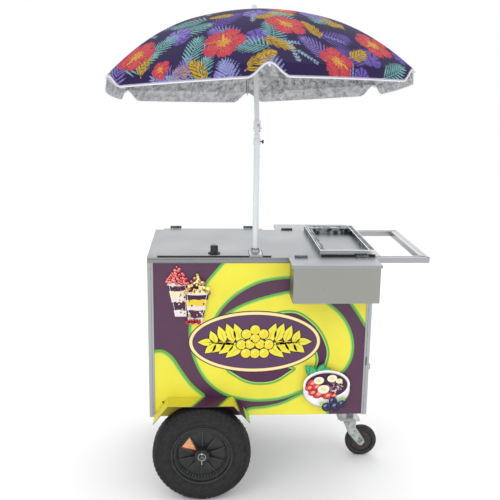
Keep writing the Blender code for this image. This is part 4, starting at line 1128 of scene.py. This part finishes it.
def make_hood_print(side):
    """The bands carried over the bent sheet above the wheel."""
    bottom, top = low(f"hood_{side}"), high(f"hood_{side}")
    lip, inner = (bottom.y, top.y) if side == "front" else (top.y, bottom.y)
    lengths = [0.0]
    for one, two in zip(HOOD_PROFILE, HOOD_PROFILE[1:]):
        lengths.append(lengths[-1] + math.dist(one, two))

    def on_hood(part, run, depth):
        one, two = HOOD_PROFILE[part], HOOD_PROFILE[part + 1]
        t = (run - lengths[part]) / (lengths[part + 1] - lengths[part])
        normal = Vector((-(two[1] - one[1]), two[0] - one[0])).normalized()
        x = one[0] + (two[0] - one[0]) * t + normal.x * HOOD_FILM
        z = one[1] + (two[1] - one[1]) * t + normal.y * HOOD_FILM
        return (BODY_LEFT + x, lip + (inner - lip) * depth, z)

    points, faces, colours = [], [], []
    for tone, lip_from, panel_from, lip_to, panel_to in HOOD_BANDS:
        for step, part in itertools.product(range(HOOD_STRIPS), range(len(HOOD_PROFILE) - 1)):
            corners, wide = [], 0.0
            for depth in (step / HOOD_STRIPS, (step + 1) / HOOD_STRIPS):
                runs = [min(max(a + (b - a) * depth, lengths[part]), lengths[part + 1])
                        for a, b in ((lip_from, panel_from), (lip_to, panel_to))]
                wide = max(wide, runs[1] - runs[0])
                corners.append([on_hood(part, run, depth) for run in runs])
            if wide > 1e-6:
                faces.append([len(points) + k for k in range(4)])
                points += corners[0] + corners[1][::-1]
                colours += [shade(tone)] * 4
    mesh = bpy.data.meshes.new(f"hood_print_{side}")
    mesh.from_pydata(points, [], faces)
    add_print(mesh, colours)
    piece(mesh.name, mesh, VINYL, "cart")


for panel_side in ("front", "rear"):
    make_front_print(panel_side)
    make_hood_print(panel_side)

# ---------------------------------------------------------------- hardware


POLE_X, POLE_Y = 0.380, 0.062
UP = (0, 0, 1)


def at(x, y, z):
    """A place measured from the body's left front foot on the ground."""
    return Vector((BODY_LEFT + x, BODY_FRONT + y, z))


def side_y(side, y):
    """A depth from the front face, or the same depth from the rear face."""
    return y if side == "front" else BODY_REAR - BODY_FRONT - y


def add_screws(name, body, spots, normal, finish, radius=0.0030):
    """Pan heads with a dimple in their middle."""
    shape = bmesh.new()
    profile = [(radius, -0.0002), (radius, 0.0005), (radius * 0.72, 0.0013), (radius * 0.34, 0.0015),
               (radius * 0.26, 0.0008), (0, 0.0008)]
    for spot in spots:
        lathe(shape, profile, spot, normal, 14)
    finished(name, shape, finish, body)


KNUCKLES, KNUCKLE_RADIUS = 5, 0.0041
PIN_END = [(0.0027, -0.0004), (0.0027, 0.0006), (0.0015, 0.0014), (0, 0.0016)]


def knuckles(name, body, start, end):
    """Rolled hinge knuckles along a pin with domed ends."""
    shape = bmesh.new()
    along = end - start
    length = along.length / KNUCKLES
    rolled = [(KNUCKLE_RADIUS - 0.0012, 0.0004), (KNUCKLE_RADIUS, 0.0010), (KNUCKLE_RADIUS, length - 0.0010),
              (KNUCKLE_RADIUS - 0.0012, length - 0.0004)]
    for number in range(KNUCKLES):
        lathe(shape, rolled, start + along * (number / KNUCKLES), along, 16)
    for spot, way in ((start, -along), (end, along)):
        lathe(shape, PIN_END, spot, way, 14)
    finished(name, shape, DARK_ZINC, body)


def lug(shape, centre, angle, half_width, section, side):
    """A tread block: section is a list of (radius, distance out from the wheel's middle)."""
    rings = []
    for edge in (-1, 1):
        turns = [(radius, out, angle + edge * half_width / radius) for radius, out in section]
        rings.append([shape.verts.new(centre + Vector((radius * math.cos(turn), side * out,
                                                       radius * math.sin(turn))))
                      for radius, out, turn in turns])
    bridge(shape, *rings)
    shape.faces.new(rings[0])
    shape.faces.new(list(reversed(rings[1])))


def lug_ring(shape, centre, count, start, half_width, section, side):
    """The same block again and again, right round the wheel from an angle."""
    for number in range(count):
        lug(shape, centre, start + math.tau * number / count, half_width, section, side)


def side_lathe(shape, profile, centre, face, out, steps):
    """A turned solid on a wheel's side, at a distance out from the wheel's middle."""
    lathe(shape, profile, centre + Vector((0, face * out, 0)), (0, face, 0), steps)


def moulded_ring(shape, centre, face, out, radius, foot, crest, low_by, high_by, steps):
    """A low ring on a wheel's side. foot and crest are half of its width, low_by and high_by its heights."""
    profile = [(radius - foot, low_by), (radius - crest, high_by),
               (radius + crest, high_by), (radius + foot, low_by)]
    side_lathe(shape, profile, centre, face, out, steps)


TREAD_BLOCKS, WALL_RIBS, WALL_TICKS = 58, 116, 44
SPOKES, TEETH, SPOKE_START = 10, 50, math.radians(15.5)


def dress_tyre(side):
    """Shoulder and crown blocks, moulded rings, and a fine ribbed arc on the sidewall."""
    tyre, body = f"tyre_{side}", f"wheel_{side}"
    centre = middle(tyre)
    radius, half = high(tyre).z - centre.z, (high(tyre).y - low(tyre).y) / 2
    shoulder = [(radius - 0.0150, half - 0.0050), (radius - 0.0125, half - 0.0016),
                (radius - 0.0024, half - 0.0118), (radius - 0.0042, half - 0.0170)]
    crown = [(radius - 0.0035, half - 0.0165), (radius - 0.0002, half - 0.0175),
             (radius + 0.0005, half - 0.0285), (radius - 0.0020, half - 0.0290)]
    rib = [(radius - 0.002, -0.0105), (radius + 0.0005, -0.0100),
           (radius + 0.0005, 0.0100), (radius - 0.002, 0.0105)]
    wall = [(0.1535, half - 0.0008), (0.1535, half + 0.0003),
            (0.1620, half - 0.0018), (0.1620, half - 0.0035)]
    shape = bmesh.new()
    for face in (-1, 1):
        lug_ring(shape, centre, TREAD_BLOCKS, 0.0, 0.0058, shoulder, face)
        lug_ring(shape, centre, TREAD_BLOCKS, math.pi / TREAD_BLOCKS * 0.6, 0.0050, crown, face)
        lug_ring(shape, centre, WALL_RIBS, math.pi / WALL_RIBS, 0.0009, wall, face)
    lug_ring(shape, centre, TREAD_BLOCKS, 0.0, 0.0062, rib, 1)
    piece(f"tread_{side}", to_mesh(shape, "tread"), RUBBER, body)
    shape = bmesh.new()
    for ring, out in ((0.1500, half - 0.0002), (0.1400, half - 0.0007), (0.1205, 0.0360), (0.1140, 0.0336)):
        for face in (-1, 1):
            moulded_ring(shape, centre, face, out, ring, 0.0012, 0.0006, -0.0010, 0.0006, 96)
    finished(f"sidewall_{side}", shape, RUBBER, body)
    shape = bmesh.new()
    for number in range(WALL_TICKS):
        turn = math.radians(48 + 84 * number / (WALL_TICKS - 1))
        tip = 0.1275 + (0.0036 if number % 3 else 0.0060)
        lug(shape, centre, turn, 0.0008, [(0.1270, 0.0375), (0.1270, 0.0391), (tip, 0.0406), (tip, 0.0385)],
            OUTWARD[side])
    piece(f"sidewall_ticks_{side}", to_mesh(shape, "ticks"), RIBBING_RUBBER, body)


def dress_rim(side):
    """Spokes and teeth moulded into the dish, a hub washer, and a reflector between two spokes."""
    body, centre, outer = f"wheel_{side}", middle(f"rim_{side}"), OUTWARD[side]
    tooth_start = math.pi / TEETH
    spoke = [(0.0275, 0.0110), (0.0275, 0.0250), (0.0860, 0.0150), (0.0930, 0.0240), (0.0930, 0.0110)]
    tooth = [(0.0850, 0.0112), (0.0850, 0.0142), (0.0925, 0.0262), (0.0935, 0.0245)]
    bead = [(0.1030, 0.0255), (0.1050, 0.0338), (0.1085, 0.0358), (0.1115, 0.0352), (0.1122, 0.0325)]
    shape = bmesh.new()
    for face in (-1, 1):
        lug_ring(shape, centre, SPOKES, SPOKE_START, 0.0011, spoke, face)
        lug_ring(shape, centre, TEETH, tooth_start, 0.0014, tooth, face)
        for ring, out in ((0.0985, 0.0262), (0.0290, 0.0120), (0.0245, 0.0393)):
            moulded_ring(shape, centre, face, out, ring, 0.0016, 0.0008, -0.0006, 0.0010, 72)
        side_lathe(shape, bead, centre, face, 0.0, 96)
    finished(f"spokes_{side}", shape, RIM_PLASTIC, body, 30)
    # painted highlight: lighter grey strips along the outer crests of the spokes and teeth
    spoke_edge = [(0.0400, 0.0225), (0.0400, 0.0238), (0.0860, 0.0154), (0.0860, 0.0145)]
    tooth_edge = [(0.0862, 0.0150), (0.0862, 0.0162), (0.0920, 0.0266), (0.0925, 0.0250)]
    shape = bmesh.new()
    lug_ring(shape, centre, SPOKES, SPOKE_START, 0.0004, spoke_edge, outer)
    lug_ring(shape, centre, TEETH, tooth_start, 0.0006, tooth_edge, outer)
    piece(f"rim_crest_highlights_{side}", to_mesh(shape, "crest_highlights"), RIM_HIGHLIGHT, body)
    washer = [(0.0090, 0.0), (0.0168, 0.0), (0.0172, 0.0005), (0.0168, 0.0012), (0.0090, 0.0012)]
    shape = bmesh.new()
    side_lathe(shape, washer, centre, outer, 0.0396, 36)
    finished(f"hub_washer_{side}", shape, BLACK_PLASTIC, body)
    wedge = [(-0.0440, 0.0650), (-0.0720, 0.0280), (-0.0185, 0.0145)]
    foot = [(-0.0720, 0.0280), (-0.0185, 0.0145), (-0.0215, 0.0095), (-0.0690, 0.0215)]
    for name, outline, finish in (("reflector", wedge, REFLECTOR), ("reflector_foot", foot, REFLECTOR_RED)):
        shape = bmesh.new()
        rings = [[shape.verts.new(centre + Vector((x, outer * out, z))) for x, z in points]
                 for points, out in ((outline, 0.0116), (outline, 0.0170), (grown(outline, -0.0018), 0.0180))]
        bridge(shape, rings[0], rings[1])
        bridge(shape, rings[1], rings[2])
        shape.faces.new(rings[2])
        piece(f"{name}_{side}", to_mesh(shape, name), finish, body)


def dress_caster():
    """Wheel rings and hub disc, swivel race, dark discs of painted shade for the cheek holes, and the nuts
    under the mounting plate.
    """
    wheel = middle("caster_wheel")
    half = (high("caster_wheel").y - low("caster_wheel").y) / 2
    disc = [(0.0165, 0.0), (0.0168, 0.0007), (0.0400, 0.0007), (0.0412, 0.0)]
    spoke = [(0.0168, half - 0.0062), (0.0168, half - 0.0036),
             (0.0400, half - 0.0044), (0.0400, half - 0.0062)]
    rings, discs = bmesh.new(), bmesh.new()
    for face in (-1, 1):
        for radius in (0.0475, 0.0545):
            moulded_ring(rings, wheel, face, half - 0.0009, radius, 0.0012, 0.0005, -0.0006, 0.0007, 60)
        side_lathe(discs, disc, wheel, face, half - 0.0060, 60)
        lug_ring(discs, wheel, 6, 0.0, 0.0010, spoke, face)
    finished("caster_rings", rings, CASTER_GREY, "caster_wheel")
    finished("caster_discs", discs, CASTER_DISC, "caster_wheel", 30)
    plate_low, plate_high = low("caster_plate"), high("caster_plate")
    swivel = Vector((BODY_LEFT + 0.790, middle("caster_plate").y, high("caster_fork").z))
    race = [(0.0240, -0.0080), (0.0262, -0.0072), (0.0262, -0.0048), (0.0240, -0.0040)]
    shape = bmesh.new()
    lathe(shape, race, swivel, UP, 40)
    finished("swivel_race", shape, ZINC, "caster_fork")
    nut = [(0.0034, 0.0), (0.0038, -0.0005), (0.0038, -0.0026), (0.0022, -0.0030), (0.0020, -0.0044),
           (0, -0.0046)]
    shape = bmesh.new()
    for x, y in itertools.product((0.750, 0.8175), (plate_low.y + 0.008, plate_high.y - 0.008)):
        lathe(shape, nut, Vector((BODY_LEFT + x, y, plate_high.z - 0.0042)), UP, 6)
    finished("plate_nuts", shape, ZINC, "cart", 25)
    # painted shade: dark discs on the cheeks stand for the shade inside the holes
    shape = bmesh.new()
    for x, z in ((0.8062, 0.1120), (0.8290, 0.0800)):
        for face in (-1, 1):
            hole = Vector((BODY_LEFT + x, wheel.y, z))
            side_lathe(shape, [(0.0030, 0.0), (0.0026, 0.0004), (0, 0.0004)], hole, face, half + 0.0055, 14)
    finished("cheek_holes", shape, HOLE_SHADE, "caster_fork")


HINGE_HALF, DOOR_HINGE_HALF = 0.022, 0.020
PIN_DROP = 0.0036                               # hinge pins lie this far below the top or face of their part


def dress_hinges():
    """Knuckles and screws of the lids' and the door's hinges."""
    lid_top = low("lid_knob").z - 0.0003
    axis = high("lid_skin").z - PIN_DROP
    for number, x in enumerate((0.082, 0.381), 1):
        knuckles(f"lid_knuckles_{number}", "main_lid", at(x - HINGE_HALF, 0.478, axis),
                 at(x + HINGE_HALF, 0.478, axis))
        spots = [at(x + step, 0.468, lid_top + 0.0013) for step in (-0.014, 0.0, 0.014)]
        add_screws(f"lid_hinge_screws_{number}", "main_lid", spots, UP, ZINC)
    for side, out in OUTWARD.items():
        y = side_y(side, 0.0)
        level = high(f"box_lid_{side}").z - PIN_DROP
        for number, x in enumerate((0.538, 0.756), 1):
            knuckles(f"box_knuckles_{side}_{number}", f"box_lid_{side}", at(x - HINGE_HALF, y, level),
                     at(x + HINGE_HALF, y, level))
            spots = [at(x + step, y + out * 0.013, DECK_TOP + 0.0012) for step in (-0.013, 0.013)]
            add_screws(f"box_hinge_screws_{side}_{number}", f"box_lid_{side}", spots, UP, ZINC, 0.0026)
    door_x, door_y = high("service_door").x - PIN_DROP, BODY_FRONT + 0.4475
    for number, z in enumerate((0.370, 0.570), 1):
        knuckles(f"door_knuckles_{number}", "service_door", Vector((door_x, door_y, z - DOOR_HINGE_HALF)),
                 Vector((door_x, door_y, z + DOOR_HINGE_HALF)))
    shape = bmesh.new()
    for z in (0.4475, 0.4725):
        lathe(shape, [(0.0022, 0.0), (0.0050, 0.0), (0.0050, 0.0008), (0.0024, 0.0012)],
              Vector((low("door_pull").x, BODY_FRONT + 0.052, z)), (1, 0, 0), 18)
    finished("pull_washers", shape, ZINC, "service_door")


def dress_body():
    """Screws, rivets, seams and small fittings on the sheet metal."""
    for side, out in OUTWARD.items():
        normal, y, box_y = (0, out, 0), side_y(side, 0.0), side_y(side, -0.110)
        posts = [at(x, y, z) for x, z in itertools.product((0.010, 0.790), (0.330, 0.600, 0.850))]
        add_screws(f"post_screws_{side}", "cart", posts, normal, ZINC, 0.0022)
        panel = low("front_panel").y if side == "front" else high("rear_panel").y
        spot = at(0.049, panel - BODY_FRONT + out * 0.0024, 0.350)
        add_screws(f"hood_screw_{side}", "cart", [spot], normal, RUST, 0.0036)
        shape = bmesh.new()
        for line in ([(0.0125, 0.295), (0.0125, 0.870)], [(0.7875, 0.295), (0.7875, 0.870)],
                     [(0.004, 0.8845), (0.796, 0.8845)], [(0.022, 0.8735), (0.778, 0.8735)]):
            bar(shape, [at(x, y + out * 0.0001, z) for x, z in line], 0.0006, 6)
        finished(f"frame_fold_{side}", shape, DARK_ZINC, "cart")
        spots = ((0.684, 0.872), (0.606, 0.808), (0.686, 0.810), (0.610, 0.781))
        add_screws(f"box_rivets_{side}", "cart", [at(x, box_y, z) for x, z in spots], normal, ZINC, 0.0016)
    shape = bmesh.new()
    slab(shape, at(0.7860, -0.0022, 0.487), at(0.7915, 0.0, 0.519), 0.0007)
    slab(shape, at(0.7872, -0.0062, 0.494), at(0.7903, -0.0020, 0.511), 0.0009)
    finished("post_latch", shape, DARK_ZINC, "cart")


def dress_handle():
    """The mitred corners of the push handle's tubes, and the seams along them."""
    left, right, front, rear = 0.8003, 0.9970, 0.0, 0.4725
    rail, grip, seam, grip_seam = 0.026, 0.030, 0.0135, 0.012
    mitres = [(left, front, left + rail, front + rail), (left, rear, left + rail, rear - rail),
              (right, front, right - grip, front + rail), (right, rear, right - grip, rear - rail)]
    seams = [(left, front + seam, right - grip_seam, front + seam),
             (left, rear - seam, right - grip_seam, rear - seam),
             (right - grip_seam, front + seam, right - grip_seam, rear - seam)]
    shape = bmesh.new()
    for lines, radius in ((mitres, 0.0008), (seams, 0.0006)):
        for x0, y0, x1, y1 in lines:
            bar(shape, [at(x0, y0, DECK_TOP + 0.00015), at(x1, y1, DECK_TOP + 0.00015)], radius, 6)
    finished("handle_mitres", shape, DARK_ZINC, "cart")


def dress_tray():
    """Strips on the tray's rails: dark ones of painted shade and dark reflection, light ones of painted
    highlight along the edges and down the front face, and a dark strip of painted shadow under its front
    edge.
    """
    base, top = low("tray_frame"), high("tray_frame")
    across, deep = top.x - base.x, top.y - base.y
    dark, bright = bmesh.new(), bmesh.new()
    # dark strips: painted shade and dark reflection on the polished rails; bright strips: painted highlight
    # along the rail edges
    strips = [(dark, 0.0028, 0.0068, 0.002, deep - 0.006, 0.0004),
              (dark, 0.0125, 0.0195, 0.006, deep - 0.056, 0.0004),
              (dark, across - 0.0185, across - 0.0036, 0.006, deep - 0.030, 0.0004),
              (dark, 0.0195, across - 0.0185, deep - 0.0130, deep - 0.0070, 0.0004),
              (dark, 0.0300, across - 0.0300, deep - 0.0600, deep - 0.0480, 0.0004),
              (bright, across - 0.0225, across - 0.0195, 0.004, deep - 0.050, 0.0010),
              (bright, 0.0, 0.0022, 0.0, deep, 0.0012),
              (bright, across - 0.0026, across, 0.0, deep, 0.0012),
              (bright, 0.0022, across - 0.0026, 0.0, 0.0060, 0.0012),
              (bright, 0.0022, across - 0.0026, deep - 0.0026, deep, 0.0012)]
    for shape, x0, x1, y0, y1, lift in strips:
        slab(shape, Vector((base.x + x0, base.y + y0, top.z - 0.0004)),
             Vector((base.x + x1, base.y + y1, top.z + lift)), 0.00015)
    # a light strip of painted highlight down the tray's front face
    slab(bright, Vector((base.x, base.y - 0.0008, base.z + 0.0075)),
         Vector((top.x, base.y + 0.0004, top.z + 0.0008)), 0.0003)
    piece("tray_shadow_steps", to_mesh(dark, "steps"), TRAY_DARK, "cart")
    piece("tray_highlight_strips", to_mesh(bright, "lips"), TRAY_HIGHLIGHT, "cart")
    # painted shadow: a dark strip of seal rubber under the tray's front edge, where the shadow gap falls
    shape = bmesh.new()
    slab(shape, Vector((base.x + 0.004, base.y - 0.0012, base.z + 0.0002)),
         Vector((top.x - 0.004, base.y + 0.0010, base.z + 0.0066)), 0.0004)
    piece("tray_front_shadow_strip", to_mesh(shape, "seal"), SEAL, "cart")


def dress_pole():
    """Pin heads at the tilting knuckle, clamp collars and screw, and a ring at the socket."""
    pin = Vector(JOINTS["canopy_tilt"]["axis"]).normalized()
    shape = bmesh.new()
    for way in (-1, 1):
        lathe(shape, [(0.0052, -0.0010), (0.0052, 0.0004), (0.0036, 0.0018), (0, 0.0022)],
              KNUCKLE + pin * way * 0.0098, pin * way, 20)
    finished("knuckle_pin_heads", shape, ZINC, "umbrella_top")
    shape = bmesh.new()
    for level, radius, tall in ((1.278, 0.0126, 0.022), (1.235, 0.0112, 0.004)):
        lathe(shape, [(0.0100, 0.0), (radius - 0.0006, 0.0), (radius, 0.0006), (radius, tall - 0.0006),
                      (radius - 0.0006, tall), (0.0100, tall)], at(POLE_X, POLE_Y, level), UP, 28)
    finished("pole_collars", shape, WHITE_PAINT, "umbrella_base")
    shape = bmesh.new()
    lathe(shape, [(0.0022, -0.002), (0.0022, 0.006), (0.0062, 0.0066), (0.0066, 0.0080), (0.0062, 0.0120),
                  (0, 0.0124)], at(POLE_X + 0.0110, POLE_Y, 1.289), (1, 0, 0), 12)
    finished("clamp_screw", shape, BLACK_PLASTIC, "umbrella_base", 30)
    boss = high("umbrella_socket").z
    shape = bmesh.new()
    lathe(shape, [(0.0104, 0.0), (0.0138, 0.0), (0.0142, 0.0012), (0.0122, 0.0030), (0.0104, 0.0030)],
          at(POLE_X, POLE_Y, boss - 0.0004), UP, 28)
    finished("socket_ring", shape, SEAL, "cart")
    corners = itertools.product((0.3625, 0.3975), (0.0125, 0.0780))
    add_screws("socket_screws", "cart", [at(x, y, boss - 0.0104) for x, y in corners], UP, ZINC, 0.0024)


for wheel_side in ("front", "rear"):
    dress_tyre(wheel_side)
    dress_rim(wheel_side)
dress_caster()
dress_hinges()
dress_body()
dress_handle()
dress_tray()
dress_pole()

# ---------------------------------------------------------------- stage


def add_light(name, place, aim, size, power):
    light = bpy.data.lights.new(name, "AREA")
    light.shape = "RECTANGLE"
    light.size, light.size_y = size
    light.energy = power
    lamp = bpy.data.objects.new(name, light)
    lamp.location = place
    lamp.rotation_euler = (Vector(aim) - Vector(place)).to_track_quat("-Z", "Y").to_euler()
    bpy.context.scene.collection.objects.link(lamp)


def make_stage():
    """A white floor, four large soft lamps and an even white sky."""
    bpy.ops.mesh.primitive_plane_add(size=90.0, location=(0, 0, -0.0006))
    floor = bpy.context.object
    floor.name = "studio_floor"
    floor.data.materials.append(Look("studio_floor", "#ffffff", 1.0).material)
    add_light("key_light", (-2.2, -3.2, 3.4), (0, 0, 0.8), (2.4, 2.4), 30)
    add_light("fill_light", (2.8, -2.4, 2.2), (0, 0, 0.8), (2.2, 2.6), 8)
    add_light("top_light", (0.2, 0.6, 4.2), (0, 0, 0.8), (3.0, 3.0), 14)
    add_light("back_light", (0.5, 3.4, 2.4), (0, 0, 0.9), (3.0, 2.0), 14)
    world = bpy.data.worlds.new("studio")
    bpy.context.scene.world = world
    world.use_nodes = True
    world.node_tree.nodes["Background"].inputs["Color"].default_value = (1, 1, 1, 1)
    world.node_tree.nodes["Background"].inputs["Strength"].default_value = 1.0
    view = bpy.context.scene.view_settings
    view.view_transform = "Standard"
    view.look = "None"
    view.exposure = 0.0


def make_camera():
    """Stands where the photograph was taken from, and looks slightly down."""
    camera = bpy.data.cameras.new("camera")
    camera.sensor_width = 36.0
    camera.lens = 52.89
    camera.clip_start, camera.clip_end = 0.05, 60.0
    holder = bpy.data.objects.new("camera", camera)
    bpy.context.scene.collection.objects.link(holder)
    yaw, pitch, roll = 0.06208, 0.23400, 0.01489
    ahead = Vector((math.sin(yaw) * math.cos(pitch), math.cos(yaw) * math.cos(pitch), -math.sin(pitch)))
    right = Vector((math.cos(yaw), -math.sin(yaw), 0))
    up = right.cross(ahead)
    level_right = math.cos(roll) * right + math.sin(roll) * up
    level_up = math.cos(roll) * up - math.sin(roll) * right
    turn = Matrix((level_right, level_up, -ahead)).transposed().to_4x4()
    turn.translation = Vector((BODY_LEFT + 0.20323, BODY_FRONT - 2.48598, 1.51291))
    holder.matrix_world = turn
    bpy.context.scene.camera = holder


make_stage()
make_camera()
